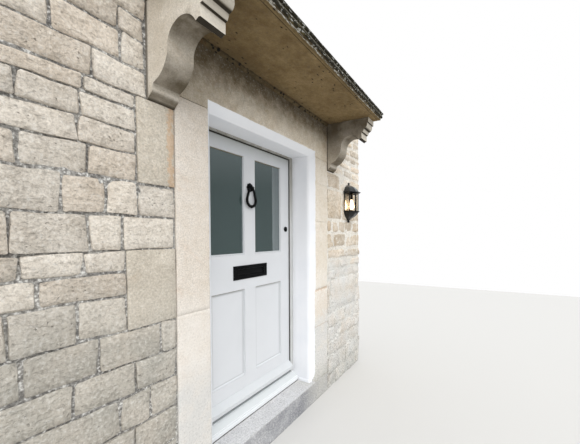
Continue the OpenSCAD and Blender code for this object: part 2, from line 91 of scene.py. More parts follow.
def feed(node, feeds):
    """Gives each of these inputs a value or a wire."""
    for key, given in feeds.items():
        if isinstance(given, Wire):
            node.id_data.links.new(given.socket, node.inputs[key])
        else:
            node.inputs[key].default_value = given


def put(kind, feeds=None, tree=None, **settings):
    """A new node, in the tree of the wires that feed it. tree is for a node without any."""
    feeds = feeds or {}
    if tree is None:
        tree = next(given.tree for given in feeds.values() if isinstance(given, Wire))
    node = tree.nodes.new(f"ShaderNode{kind}")
    for key, setting in settings.items():
        setattr(node, key, setting)
    feed(node, feeds)
    return Wire(node.outputs[0])


def ramp(value, low, high, to_low=0.0, to_high=1.0, soft=False):
    """low to high becomes to_low to to_high, and stays there outside."""
    return put("MapRange", {
        "Value": value, "From Min": low, "From Max": high, "To Min": to_low, "To Max": to_high,
    }, interpolation_type="SMOOTHSTEP" if soft else "LINEAR")


scene.view_settings.view_transform = "Standard"
world = bpy.data.worlds.new("overcast")
scene.world = world
world.use_nodes = True
air = world.node_tree
air.nodes.remove(air.nodes["Background"])
height = put("SeparateXYZ", {0: put("TexCoord", tree=air)["Generated"]})[2]
daylight = put("Background", {"Color": (0.97, 0.985, 1, 1), "Strength": ramp(height, 0.0, 1.0, 0.48, 1.24)})
dim_sky = put("Background", {"Color": (0.95, 1, 1, 1), "Strength": ramp(height, 0.15, 0.5, 0.2)})
backdrop = put("Background", {"Color": (1, 1, 1, 1)}, tree=air)
ray = put("LightPath", tree=air)
mirrored = put("MixShader", {0: ray["Is Glossy Ray"], 1: daylight, 2: dim_sky})
seen = put("MixShader", {0: ray["Is Camera Ray"], 1: mirrored, 2: backdrop})
feed(air.nodes["World Output"], {0: seen})
for name, strength, softness, angles in (
        ("bright_sky", 1.7, 44, (43, 0, -26)),
        ("side_fill", 0.62, 60, (78, 0, -72))):
    lamp = bpy.data.lights.new(name, "SUN")
    lamp.energy, lamp.angle = strength, math.radians(softness)
    light = bpy.data.objects.new(name, lamp)
    scene.collection.objects.link(light)
    light.rotation_euler = [math.radians(angle) for angle in angles]


def alone(piece=None):
    """Nothing but this piece is selected, so that the next operator acts on it alone."""
    bpy.ops.object.select_all(action="DESELECT")
    if piece:
        piece.select_set(True)
        bpy.context.view_layer.objects.active = piece


def added(primitive, name, **settings):
    """A new primitive with its place, turn and size in its mesh."""
    alone()
    getattr(bpy.ops.mesh, f"primitive_{primitive}_add")(**settings)
    bpy.ops.object.transform_apply(location=True, rotation=True, scale=True)
    bpy.context.object.name = name
    return bpy.context.object


floor = added("plane", "studio_floor", size=14)
floor_paint = bpy.data.materials.new("studio_floor")
floor_paint.use_nodes = True
feed(floor_paint.node_tree.nodes["Principled BSDF"], {"Base Color": (0.63, 0.62, 0.60, 1), "Roughness": 0.9})
floor.data.materials.append(floor_paint)

# Rubble wall: roughly squared limestone, laid in uneven courses in lime mortar. Beside
# the jambs stand a few larger squared blocks that tie the dressed stones into the wall.
# Each course is its two heights and the places of its upright joints, in mm.
X, Y, Z = Vector((1, 0, 0)), Vector((0, 1, 0)), Vector((0, 0, 1))
HALF, THICK, TOP = 1.5, 0.48, 2.85
SOFFIT = 2.41  # the hood's underside, where the wall above begins
EDGE_L, EDGE_R = -0.734, 0.75  # the outer edges of the dressed stones
FRAME_Y, FRAME_HALF, FRAME_TOP = 0.206, 0.541, 2.134  # the hole for the timber frame
LEFT_COURSES = [
    (6, 150, (-1494, -1290, -1010, -738)),
    (150, 312, (-1494, -1405, -1130, -905, -738)),
    (312, 455, (-1494, -1260, -985, -738)),
    (455, 614, (-1494, -1380, -1180, -932, -738)),
    (614, 757, (-1494, -1310, -987, -863, -738)),
    (757, 887, (-1494, -1345, -1140, -925, -738)),
    (887, 1026, (-1494, -1270, -1055, -813, -738)),
    (1026, 1172, (-1494, -1300, -1120, -953)),
    (1172, 1268, (-1494, -1225, -953)),
    (1268, 1354, (-1494, -1270, -1100, -953)),
    (1354, 1495, (-1494, -1290, -1080, -964, -738)),
    (1495, 1637, (-1494, -1330, -1160, -1022, -909, -738)),
    (1637, 1750, (-1494, -1265, -1080, -905)),
    (1750, 1845, (-1494, -1400, -1110, -905)),
    (1845, 1936, (-1494, -1268, -1100, -905)),
    (1936, 1998, (-1494, -1360, -1090, -905)),
    (1998, 2110, (-1494, -1330, -1060, -864)),
    (2110, 2228, (-1494, -1400, -1180, -960, -864)),
    (2228, 2325, (-1494, -1270, -970, -864)),
    (2325, 2408, (-1494, -1300, -1120, -864)),
]
LEFT_TIES = [(1026, 1354, (-953, -738)), (1637, 1996, (-905, -738))]
RIGHT_LOW_COURSES = [
    (6, 130, (754, 905, 1190, 1380, 1494)),
    (130, 290, (754, 1000, 1130, 1400, 1494)),
    (290, 432, (754, 880, 1180, 1494)),
    (432, 560, (754, 1010, 1290, 1420, 1494)),
    (560, 695, (754, 900, 1120, 1390, 1494)),
    (695, 850, (754, 826)),
    (850, 1000, (754, 826)),
    (695, 860, (1402, 1494)),
    (860, 1000, (1402, 1494)),
    (1000, 1090, (754, 900, 1120, 1330, 1494)),
]
RIGHT_HIGH_COURSES = [
    (1090, 1190, (754, 1010, 1240, 1494)),
    (1190, 1295, (754, 1110, 1460, 1494)),
    (1295, 1438, (754, 880, 1150, 1440, 1494)),
    (1438, 1560, (754, 850, 975, 1120, 1290, 1430, 1494)),
    (1845, 1998, (754, 1010, 1240, 1494)),
    (1998, 2082, (880, 1090, 1300, 1494)),
    (2082, 2160, (880, 1010, 1270, 1494)),
    (2160, 2235, (880, 1120, 1400, 1494)),
    (2235, 2322, (880, 980, 1250, 1494)),
    (2322, 2408, (880, 1150, 1330, 1494)),
]
RIGHT_TIES = [(695, 1000, (826, 1402)), (1560, 1845, (754, 1055, 1335, 1494))]
OVER_COURSES = [
    (2410, 2512, (-1494, -1330, -1090, -888)),
    (2410, 2512, (904, 1130, 1290, 1494)),
    (2516, 2625, (-1494, -1260, -1010, -700, -420, -180, 120, 390, 610, 900, 1160, 1370, 1494)),
    (2625, 2735, (-1494, -1390, -1130, -850, -560, -290, -20, 250, 560, 760, 1040, 1250, 1494)),
    (2735, 2846, (-1494, -1230, -980, -690, -380, -120, 150, 420, 700, 950, 1180, 1400, 1494)),
]
TOP_ROWS = [
    (8, 225, (-1494, -1290, -1010, -790, -520, -300, -30, 240, 430, 700, 980, 1200, 1494)),
    (225, 472, (-1494, -1370, -1120, -860, -640, -350, -110, 160, 380, 620, 860, 1100, 1330, 1494)),
]


@contextmanager
def editing(piece, action="SELECT"):
    """Edit mode on this piece alone, with all of it selected."""
    alone(piece)
    bpy.ops.object.mode_set(mode="EDIT")
    bpy.ops.mesh.select_all(action=action)
    yield
    bpy.ops.object.mode_set(mode="OBJECT")


def block(name, low, high):
    return added(
        "cube", name, size=1, location=[(a + b) / 2 for a, b in zip(low, high)],
        scale=[b - a for a, b in zip(low, high)])


def joined(name, pieces):
    alone(pieces[0])
    for piece in pieces:
        piece.select_set(True)
    bpy.ops.object.join()
    pieces[0].name = pieces[0].data.name = name
    return pieces[0]


def outward(piece):
    with editing(piece):
        bpy.ops.mesh.normals_make_consistent(inside=False)


def smooth(piece, degrees):
    alone(piece)
    bpy.ops.object.shade_smooth_by_angle(angle=math.radians(degrees))


def keep_within(piece, low, high):
    for vert in piece.data.vertices:
        vert.co = [min(max(place, a), b) for place, a, b in zip(vert.co, low, high)]


def cut_across(piece, axis, places):
    """Loops of edges round the piece, at these places along one axis."""
    along = (X, Y, Z)[axis]
    with editing(piece):
        for place in places:
            bpy.ops.mesh.select_all(action="SELECT")
            bpy.ops.mesh.bisect(plane_co=along * place, plane_no=along)


def spaced(low, high, step):
    count = max(1, round((high - low) / step))
    return [low + (high - low) * i / count for i in range(1, count)]


def cut_grid(piece, step):
    spans = [[vert.co[axis] for vert in piece.data.vertices] for axis in range(3)]
    for axis, span in enumerate(spans):
        cut_across(piece, axis, spaced(min(span), max(span), step))


# Every stone is cast from one mould, 8 by 6 faces in front and one at the back, in its own
# measure of -1 to 1, and then takes its size, its worn rim and its roughness.
STONE_DEPTH = 0.035
RIM_LINE, NEXT_LINE = 0.95, 0.6  # the mould's outermost line, and those that follow the rim
rng = random.Random(11)
noise.seed_set(11)  # without it, the stones' waves would differ from one run to the next
mould = added("grid", "mould", x_subdivisions=8, y_subdivisions=6, size=2)
with editing(mould):
    bpy.ops.mesh.extrude_region_move(TRANSFORM_OT_translate={"value": (0, 0, 1)})
    bpy.ops.mesh.select_all(action="INVERT")
    bpy.ops.mesh.dissolve_faces()
outward(mould)


def line_at(share, half, arris):
    """Where one of the mould's lines goes, measured from the middle of the stone."""
    size, inner = abs(share), half - arris
    place = half if size > RIM_LINE else inner if size > NEXT_LINE else inner * size * 1.35
    return math.copysign(place, share)


def lay_stone(start, plane, size, face, arris, rough, tone):
    """One stone. start is its low left corner, and arris how wide its worn rim is."""
    _, right, up, out = plane
    stone = bpy.data.objects.new("stone", mould.data.copy())
    scene.collection.objects.link(stone)
    middle = start + right * size[0] / 2 + up * size[1] / 2
    leans = [rng.uniform(-1, 1) * rough for _ in range(4)]
    tilt = [rng.uniform(-1, 1) * 0.006 * rough for _ in range(2)]
    for vert in stone.data.vertices:
        s, t, front = vert.co
        a, b = line_at(s, size[0] / 2, arris), line_at(t, size[1] / 2, arris)
        at_side, at_end = abs(s) > RIM_LINE, abs(t) > RIM_LINE
        rim = at_side or at_end
        if at_side and at_end:
            a, b = a - math.copysign(arris * 0.4, a), b - math.copysign(arris * 0.4, b)
        a += 0.004 * (leans[0] * t + leans[1] * s * t)
        b += 0.003 * (leans[2] * s + leans[3] * s * t)
        place = middle + right * a + up * b
        depth = -STONE_DEPTH
        if front > 0.5:
            dressing = -arris * 0.75 if rim else (noise.noise(place * 33) + noise.noise(place * 9)) * 0.004 * rough
            depth = face + tilt[0] * s + tilt[1] * t + dressing
        wave = (noise.noise_vector(place * 11) * 0.005 + noise.noise_vector(place * 37) * 0.0025) * rough
        vert.co = place + (right * wave.x + up * wave.z) * (1 if rim else 0.5) + out * depth
    shade = stone.data.attributes.new("tone", "FLOAT", "POINT")
    shade.data.foreach_set("value", [tone] * len(stone.data.vertices))
    return stone


def lay_courses(courses, plane, gap, face, arris, rough, tone=None):
    """The stones of one plane, which is a corner and the ways right, up and out. gap is
    the joint's width, and face how far the stones stand out of the plane."""
    corner, right, up, _ = plane
    stones = []
    for low, high, joints in courses:
        for a, b in zip(joints, joints[1:]):
            joint = gap * rng.uniform(0.75, 1.25)
            start = corner + right * (a / 1000 + joint / 2) + up * (low / 1000 + joint / 2)
            size = ((b - a) / 1000 - joint, (high - low) / 1000 - joint)
            own_face = face + rng.uniform(-0.002, 0.002)
            own_tone = rng.random() if tone is None else tone
            stones.append(lay_stone(start, plane, size, own_face, arris, rough, own_tone))
    return stones


def lay_end(side, low, high):
    """One of the wall's two cut ends, which is two stones thick."""
    courses, z = [], low
    while z < high - 60:
        top = min(high, z + rng.uniform(95, 165))
        if high - top < 60:
            top = high
        courses.append((z, top, (8, rng.uniform(150, 320), 474)))
        z = top
    return lay_courses(courses, (X * side * HALF, Y, Z, X * side), 0.014, -0.003, 0.005, 0.3)


def mortar_bed(name, boxes, step, lumps, seed):
    """The mortar that the stones lie in, with a lumpy face."""
    beds = []
    for low, high in boxes:
        bed = block(name, low, high)
        cut_grid(bed, step)
        for vert in bed.data.vertices:
            inside = all(low[i] + 0.001 < vert.co[i] < high[i] - 0.001 for i in (0, 2))
            if inside and vert.co.y < low[1] + 0.001:
                vert.co.y -= lumps * (0.5 + noise.noise((vert.co + X * seed) * 23))
        beds.append(bed)
    return joined(name, beds)


BED_BACK, BED_END = THICK - 0.002, HALF - 0.013
bed_left = mortar_bed("mortar_bed_left", [
    ((-BED_END, 0.009, 0), (EDGE_L, BED_BACK, SOFFIT)),
    ((EDGE_L, FRAME_Y, 0), (-FRAME_HALF, BED_BACK, FRAME_TOP))], 0.03, 0.003, 3)
bed_right = mortar_bed("mortar_bed_right", [
    ((EDGE_R, 0.006, 0), (BED_END, BED_BACK, SOFFIT)),
    ((FRAME_HALF, FRAME_Y, 0), (EDGE_R, BED_BACK, FRAME_TOP))], 0.03, 0.0035, 8)
bed_over = mortar_bed("mortar_bed_over", [
    ((-BED_END, 0.007, SOFFIT), (BED_END, BED_BACK, TOP - 0.012)),
    ((EDGE_L, FRAME_Y, FRAME_TOP), (EDGE_R, BED_BACK, SOFFIT))], 0.035, 0.006, 5)

WALL_FACE = (Vector((0, 0, 0)), X, Z, -Y)
left_stones = lay_courses(LEFT_COURSES, WALL_FACE, 0.0095, 0.0, 0.006, 1.0)
tie_low, tie_high = lay_courses(LEFT_TIES, WALL_FACE, 0.004, 0.0015, 0.002, 0.3, 0.56)
tie_low.name, tie_high.name = "tie_block_low", "tie_block_high"
left_stones += lay_end(-1, 4, 2408)
right_stones = lay_courses(RIGHT_LOW_COURSES, WALL_FACE, 0.012, 0.0015, 0.006, 1.3)
right_stones += lay_courses(RIGHT_HIGH_COURSES, WALL_FACE, 0.025, 0.0015, 0.011, 1.7)
right_stones += lay_courses(RIGHT_TIES, WALL_FACE, 0.016, 0.0015, 0.011, 1.0, 0.58)
right_stones += lay_end(1, 4, 2408)
over_stones = lay_courses(OVER_COURSES, WALL_FACE, 0.014, 0.0, 0.007, 1.1)
over_stones += lay_end(-1, 2412, 2844)
over_stones += lay_end(1, 2412, 2844)
over_stones += lay_courses(TOP_ROWS, (Z * TOP, X, Y, Z), 0.016, -0.003, 0.006, 0.35)
bpy.data.objects.remove(mould)
rubble_left = joined("rubble_left", left_stones)
rubble_right = joined("rubble_right", right_stones)
rubble_over = joined("rubble_over", over_stones)
for piece in (rubble_left, tie_low, tie_high, rubble_right, rubble_over, bed_left, bed_right, bed_over):
    keep_within(piece, (-HALF, -THICK, 0), (HALF, THICK, TOP))
    outward(piece)
    smooth(piece, 48)


# Stone surfaces: the look of cut and broken limestone, its grit and the dirt that rain
# leaves are three node groups, which each stone finish uses with its own colours. Some
# finishes use the dirt group for painted shade as well.
def colour(*rgb):
    """A colour as seen on a screen, 0 to 255, in Blender's linear measure."""
    return (*[c / 255 / 12.92 if c <= 10 else ((c / 255 + 0.055) / 1.055) ** 2.4 for c in rgb], 1)


def noise_at(vector, scale, detail=5, roughness=0.6, distortion=0.0):
    return put("TexNoise", {
        "Vector": vector, "Scale": scale, "Detail": detail, "Roughness": roughness, "Distortion": distortion})


def cells_at(vector, scale):
    """How far it is to the middle of the nearest cell."""
    return put("TexVoronoi", {"Vector": vector, "Scale": scale, "Randomness": 1.0})


def mixed(share, a, b):
    return put("Mix", {0: share, 6: a, 7: b}, data_type="RGBA")[2]


def mixed_number(share, a, b):
    return put("Mix", {0: share, 2: a, 3: b}, data_type="FLOAT")


def stretched(vector, by):
    return put("VectorMath", {0: vector, 1: by}, operation="MULTIPLY")


def scaled(vector, by):
    return put("VectorMath", {0: vector, "Scale": by}, operation="SCALE")


def parts_of(vector):
    return put("SeparateXYZ", {0: vector})


def new_group(name, inputs, outputs, **starts):
    """An empty node group, what it is given and the node that gives its outputs. inputs
    and outputs name the sockets of each kind, and starts are values to begin with."""
    tree = bpy.data.node_groups.new(name, "ShaderNodeTree")
    for side, kinds in (("INPUT", inputs), ("OUTPUT", outputs)):
        for kind, labels in kinds.items():
            for label in labels.split(", "):
                socket = tree.interface.new_socket(name=label, in_out=side, socket_type=f"NodeSocket{kind}")
                if label in starts:
                    socket.default_value = starts[label]
    return tree, Wire(tree.nodes.new("NodeGroupInput").outputs[0]), tree.nodes.new("NodeGroupOutput")


stone_face, given, result = new_group(
    "stone_face",
    {"Vector": "Vector", "Color": "Pale, Deep, Stain", "Float": "Stained, Pitted, Tone, Tone Range, Rugged"},
    {"Color": "Colour", "Float": "Roughness, Height"})
at = given["Vector"]
clouds, patches, grain = noise_at(at, 3.1, 5, 0.55), noise_at(at, 21, 7, 0.72), noise_at(at, 150, 5, 0.75)
shade = mixed(ramp(clouds * 0.45 + patches * 0.55, 0.4, 0.6), given["Pale"], given["Deep"])
hue = (given["Tone"] * 7.31).maths("FRACT")
shade = mixed(ramp(hue, 0.45, 1.0, 0, 1.1) * given["Tone Range"], shade, given["Stain"])
rust = ramp(noise_at(at, 6.3, 6, 0.7, 0.7), 0.56, 0.72)
shade = mixed(rust * given["Stained"], shade, given["Stain"])
warp = scaled(noise_at(at, 40, 3, 0.5)["Color"], 0.03)
bent = put("VectorMath", {0: at, 1: warp}, operation="ADD")
pits = ramp(cells_at(bent, 52), 0.08, 0.24, 1, 0) * ramp(noise_at(at, 13, 4), 0.48, 0.6) * given["Pitted"]
slant = put("Mapping", {"Vector": bent, "Rotation": (0, 0.5, 0), "Scale": (0.22, 1, 1)})
marks = noise_at(slant, 95, 6, 0.75)
chips = ramp(marks, 0.55, 0.7) * given["Rugged"]
dark = pits.maths("MAXIMUM", chips * 0.42)
shade = mixed(dark, shade, colour(96, 86, 72))
shade = mixed(ramp(marks, 0.42, 0.34) * (given["Rugged"] * 0.3), shade, colour(246, 242, 234))
brightness = ramp(grain, 0.34, 0.66, 0.78, 1.16) + (given["Tone"] - 0.5) * given["Tone Range"]
feed(result, {
    "Colour": scaled(shade, brightness), "Roughness": ramp(patches, 0.3, 0.7, 0.8, 0.97),
    "Height": patches * 0.75 + grain * 0.25 - dark * 0.6})

gritty, given, result = new_group(
    "gritty", {"Vector": "Vector", "Color": "Colour, Dark, Pale", "Float": "Grain, Grit"},
    {"Color": "Colour", "Float": "Sunk"}, Dark=colour(88, 86, 82), Pale=(0.95, 0.94, 0.9, 1))
crumbs = noise_at(given["Vector"], given["Grain"], 2.5, 0.6)
sunk = ramp(crumbs, 0.47, 0.33) * given["Grit"]
proud = ramp(crumbs, 0.54, 0.67) * given["Grit"]
shade = mixed(sunk * 0.6, given["Colour"], given["Dark"])
feed(result, {"Colour": mixed(proud * 0.7, shade, given["Pale"]), "Sunk": sunk})

rain_dirt_and_shade, given, result = new_group(
    "rain_dirt_and_shade",
    {"Vector": "Vector, Streak", "Color": "Colour, Dirt", "Float": "Along, Clean At, Dirty At, Amount, Patchy"},
    {"Color": "Colour"})
streaks = ramp(noise_at(stretched(given["Vector"], given["Streak"]), 5.0, 5, 0.62), 0.32, 0.62)
reach = ramp(given["Along"], given["Clean At"], given["Dirty At"], soft=True)
darkening = reach * mixed_number(given["Patchy"], reach, streaks)
darkening = darkening.maths("MULTIPLY", given["Amount"], clamp=True)
feed(result, {"Colour": mixed(darkening, given["Colour"], given["Dirt"])})


def finish_of(name):
    """A new material, its shader and its Object coordinates."""
    material = bpy.data.materials.new(name)
    material.use_nodes = True
    tree = material.node_tree
    return material, tree.nodes["Principled BSDF"], put("TexCoord", tree=tree)["Object"]


def soiled_and_shaded(place, shade, dirt, patchy=0.6):
    """Darkening of a colour: dirt, and in some entries painted shade. Each entry is an axis,
    where it is clean and where dirty, how much, its colour, and how closely its streaks lie sideways and upwards."""
    axes = parts_of(place)
    for axis, clean, dirty, amount, tint, sideways, upwards in dirt:
        shade = put("Group", {
            "Vector": place, "Colour": shade, "Dirt": colour(*tint), "Along": axes[axis],
            "Clean At": clean, "Dirty At": dirty, "Amount": amount,
            "Streak": (sideways, sideways, upwards), "Patchy": patchy,
        }, node_tree=rain_dirt_and_shade)["Colour"]
    return shade


def shown(shader, look, relief):
    """Feeds the shader with a look, whose height stands for this much relief."""
    height = look.pop("Height")
    bump = put("Bump", {"Height": height, "Distance": relief, "Strength": 1.0})
    feed(shader, {**look, "Normal": bump})


def stone_finish(
        name, pale, deep, stain, stained, pitted, relief, dirt=(), bands=(), patchy=0.6, tone_range=0.0,
        rugged=0.25, grit=0.0, grit_foot=None, grain=80.0, grit_pale=None, over=None):
    """A stone finish. grit_foot is the grit near the ground, and grain how many grains lie
    side by side in a metre. Each entry of bands is an axis, a place, half a width, how much
    and a colour. over lays more on the look."""
    material, shader, place = finish_of(name)
    axes = parts_of(place)
    tone = put("Attribute", tree=place.tree, attribute_name="tone")["Fac"] if tone_range else 0.5
    if grit_foot is not None:
        grit = ramp(axes[2], 1.1, 0.35, grit, grit_foot)
    face = put("Group", {
        "Vector": place, "Pale": colour(*pale), "Deep": colour(*deep), "Stain": colour(*stain),
        "Stained": stained, "Pitted": pitted, "Tone": tone, "Tone Range": tone_range, "Rugged": rugged,
    }, node_tree=stone_face)
    grains = {"Vector": place, "Colour": soiled_and_shaded(place, face["Colour"], dirt, patchy), "Grain": grain, "Grit": grit}
    if grit_pale:
        grains["Pale"] = colour(*grit_pale)
    crumbly = put("Group", grains, node_tree=gritty)
    shade = crumbly["Colour"]
    for axis, middle, half, amount, tint in bands:
        ragged = ramp(noise_at(place, 30, 4, 0.65), 0.3, 0.7, -half, half)
        gap = (axes[axis] + ragged - middle).maths("ABSOLUTE")
        shade = mixed(ramp(gap, half, half * 0.5, 0, amount), shade, colour(*tint))
    look = {
        "Base Color": shade, "Roughness": face["Roughness"], "Height": face["Height"] - crumbly["Sunk"] * 0.35}
    if over:
        over(place, look)
    feed(shader, {"Specular IOR Level": 0.3})
    shown(shader, look, relief)
    return material


def settle(piece, material, body, slot, *nodes):
    """Gives a piece its material, the body it rides on and the nodes it replaces. slot is not used."""
    piece.data.materials.clear()
    piece.data.materials.append(material)
    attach(piece, body)
    if nodes:
        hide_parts(*nodes)


WARM_RUBBLE = ((246, 237, 224), (214, 197, 172), (190, 154, 114), 0.4, 0.8, 0.012)
rubble_old = stone_finish(
    "rubble_left", (230, 222, 210), (203, 193, 179), (192, 168, 142), 0.2, 0.6, 0.011,
    [(2, 1.5, 0.9, 0.8, (170, 167, 158), 1, 1), (2, 2.1, 2.6, 0.3, (172, 164, 151), 1.5, 0.6)],
    tone_range=0.24, rugged=0.62, grit=0.35, grit_foot=0.5)
rubble_warm = stone_finish(
    "rubble_right", *WARM_RUBBLE,
    [(2, 1.42, 1.05, 0.92, (224, 223, 220), 1, 1), (2, 0.5, 0.05, 0.8, (192, 192, 187), 2, 2)],
    [(2, 1.47, 0.24, 0.36, (172, 148, 116))], tone_range=0.3, rugged=1.0, grit=0.35, grit_foot=0.8)
rubble_mixed = stone_finish(
    "rubble_over", *WARM_RUBBLE, [(0, 1.1, -0.9, 0.75, (198, 189, 174), 1, 1)],
    tone_range=0.3, rugged=1.0, grit=0.35)
mortar_grey = stone_finish(
    "mortar_grey", (178, 175, 169), (126, 124, 121), (74, 72, 70), 0.6, 0.6, 0.008,
    rugged=0.9, grit=1.0, grain=95)
mortar_pale = stone_finish(
    "mortar_pale", (243, 238, 229), (230, 222, 208), (164, 140, 108), 0.3, 0.7, 0.008,
    [(2, 1.42, 1.05, 0.92, (214, 213, 209), 1, 1), (2, 0.5, 0.05, 0.8, (182, 182, 177), 2, 2)],
    rugged=0.9, grit=0.4, grit_foot=0.9)
mortar_mixed = stone_finish(
    "mortar_over", (236, 230, 220), (216, 206, 190), (160, 138, 108), 0.3, 0.7, 0.008,
    [(0, 1.1, -0.9, 0.9, (150, 147, 140), 1, 1)], rugged=0.9, grit=0.5)
plaster = stone_finish("room_plaster", (226, 222, 214), (214, 209, 200), (200, 190, 172), 0.15, 0.05, 0.002)

for tie, bands in ((tie_low, []), (tie_high, [(0, -0.757, 0.02, 0.45, (206, 162, 116))])):
    squared = stone_finish(
        tie.name, (208, 199, 184), (188, 178, 162), (184, 156, 124), 0.25, 0.35, 0.006,
        [(2, 1.5, 0.9, 0.4, (196, 194, 187), 1, 1)], bands, rugged=0.2, grit=0.3, grain=100)
    settle(tie, squared, "building", "rubble")
for rubble, bed, node, stones, mortar in (
        (rubble_left, bed_left, "wall_left", rubble_old, mortar_grey),
        (rubble_right, bed_right, "wall_right", rubble_warm, mortar_pale),
        (rubble_over, bed_over, "wall_over", rubble_mixed, mortar_mixed)):
    settle(rubble, stones, "building", "rubble")
    settle(bed, mortar, "building", "rubble", node)
    bed.data.materials.append(plaster)
    for face in bed.data.polygons:
        in_room = face.normal.y > 0.7
        in_reveal = face.center.y > FRAME_Y and (
            abs(abs(face.center.x) - FRAME_HALF) < 0.002 or abs(face.center.z - FRAME_TOP) < 0.002)
        face.material_index = 1 if in_room or in_reveal else 0

# Dressed stones: jambs and a lintel of sawn limestone with a wide chamfer. The chamfer and
# the reveal have many coats of white paint, which ends in a wavering line at the arris.
ARRIS_HALF, ARRIS_TOP, REVEAL_HALF = 0.546, 2.122, 0.498
CHAMFER = ARRIS_HALF - REVEAL_HALF
OCHRE = (196, 142, 88)

painted_edge, given, result = new_group(
    "painted_edge", {"Vector": "Vector", "Float": "Half Width, Top, Waver"}, {"Float": "Painted, Lip"})
parts = parts_of(given["Vector"])
foot_round = ramp(parts[2], 0.255, 0.166).maths("POWER", 2.0)
half = given["Half Width"] - foot_round * 0.024 - ramp(parts[2], 0.96, 0.93, 0, 0.006)
side_gap = half - parts[0].maths("ABSOLUTE")
edge_gap = side_gap.maths("MINIMUM", given["Top"] - parts[2])
edge_gap = edge_gap + (noise_at(given["Vector"], 24, 4, 0.6) - 0.5) * given["Waver"]
feed(result, {"Painted": ramp(edge_gap, -0.0006, 0.0006), "Lip": ramp(edge_gap, 0.0, 0.004)})

thick_paint, given, result = new_group(
    "thick_paint", {"Vector": "Vector", "Color": "Paint, Dull"}, {"Color": "Colour", "Float": "Roughness, Height"},
    Paint=colour(241, 242, 245), Dull=colour(231, 234, 239))
film = noise_at(given["Vector"], 4.5, 4, 0.5)
brush = noise_at(stretched(given["Vector"], (1, 1, 0.12)), 190, 3, 0.6)
feed(result, {
    "Colour": mixed(ramp(film, 0.45, 0.7, 0, 0.5), given["Paint"], given["Dull"]),
    "Roughness": ramp(brush, 0.3, 0.7, 0.42, 0.56),
    "Height": noise_at(given["Vector"], 26, 4, 0.55) + brush * 0.12})


def coats_inside_arris(place, look):
    """White paint inside the arris and bare stone outside it."""
    edge = put("Group", {
        "Vector": place, "Half Width": ARRIS_HALF - 0.001, "Top": ARRIS_TOP, "Waver": 0.009,
    }, node_tree=painted_edge)
    paint = put("Group", {"Vector": place}, node_tree=thick_paint)
    height = paint["Height"] * 0.35 + edge["Lip"] * 0.6
    look["Base Color"] = mixed(edge["Painted"], look["Base Color"], paint["Colour"])
    look["Roughness"] = mixed(edge["Painted"], look["Roughness"], paint["Roughness"])
    look["Height"] = mixed_number(edge["Painted"], look["Height"], height)


painted_stone = partial(
    stone_finish, stain=OCHRE, stained=0.22, pitted=0.12, relief=0.0025, grit=0.16, over=coats_inside_arris)
jamb_stone = partial(painted_stone, dirt=[
    (2, 1.25, 0.9, 0.8, (233, 228, 221), 2, 2),
    (2, 0.85, 0.6, 1.2, (211, 209, 205), 2, 2),
    (2, 0.36, 0.2, 1.1, (192, 190, 184), 2, 2),
    (2, 1.9, 2.3, 0.45, (176, 162, 138), 3, 0.8)])
left_jamb_stone = jamb_stone("jamb_stone_left", (224, 216, 206), (213, 202, 188), grit_foot=0.3, grain=110)
right_jamb_stone = jamb_stone(
    "jamb_stone_right", (233, 225, 213), (219, 207, 188), grit_foot=0.55, grain=85,
    bands=[(2, 0.80, 0.10, 0.22, (206, 184, 160)), (2, 0.945, 0.013, 0.4, (190, 148, 106)),
           (2, 0.632, 0.006, 0.3, (170, 140, 108))])
# The lintel darkens upwards towards the hood: soiling and painted shade of the hood together. It darkens towards its
# left end as well.
lintel_stone = painted_stone(
    "lintel_stone", (238, 229, 214), (217, 203, 180), grit_foot=0.55, grain=85, patchy=0.35,
    dirt=[(2, 2.09, 2.33, 0.93, (95, 81, 54), 3, 3), (2, 2.25, 2.38, 0.8, (60, 49, 29), 3, 4),
          (0, 0.2, -0.7, 0.5, (86, 73, 50), 3, 3)])


WELD = 0.00002  # points nearer than this are one point


def from_frame(name, node):
    """A new piece with a node's shape, its loose triangles merged into whole faces."""
    piece = bpy.data.objects.new(name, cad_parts[node].data.copy())
    scene.collection.objects.link(piece)
    with editing(piece):
        bpy.ops.mesh.remove_doubles(threshold=WELD)
        bpy.ops.mesh.dissolve_limited(angle_limit=math.radians(0.4))
    return piece


def modified(piece, kind, **settings):
    """Applies one modifier to the piece."""
    alone(piece)
    modifier = piece.modifiers.new(kind.lower(), kind)
    for key, setting in settings.items():
        setattr(modifier, key, setting)
    bpy.ops.object.modifier_apply(modifier=modifier.name)


def ease_arrises(piece, width, segments=2, angle=32):
    modified(
        piece, "BEVEL", width=width, segments=segments, limit_method="ANGLE", angle_limit=math.radians(angle))


def weather(piece, depth, size, seed, free):
    """Wears the faces by a soft noise, where free says that a point may move."""
    shift = Vector((seed * 1.7, seed * 0.6, -seed))
    normals = [vert.normal.copy() for vert in piece.data.vertices]
    for vert, normal in zip(piece.data.vertices, normals):
        if free(vert.co):
            place = (vert.co + shift) / size
            vert.co += normal * depth * (noise.noise(place) + 0.5 * noise.noise(place * 2.7) - 0.6)


def rake_joint(piece, height, depth):
    """A level joint, cut back into the bare stone."""
    cut_across(piece, 2, [height - 0.003, height, height + 0.003])
    for vert in piece.data.vertices:
        if abs(vert.co.z - height) < 0.0005 and vert.co.y < 0.004 and abs(vert.co.x) > ARRIS_HALF + 0.002:
            vert.co.y += depth


def round_edge(piece, width, at_edge):
    """The edges whose two ends at_edge picks, rounded over, as many coats of paint do."""
    with editing(piece, "DESELECT"):
        bpy.ops.mesh.select_mode(type="EDGE")
    for edge in piece.data.edges:
        edge.select = all(at_edge(piece.data.vertices[i].co) for i in edge.vertices)
    bpy.ops.object.mode_set(mode="EDIT")
    bpy.ops.mesh.bevel(offset=width, segments=4)
    bpy.ops.mesh.select_mode(type="VERT")
    bpy.ops.object.mode_set(mode="OBJECT")


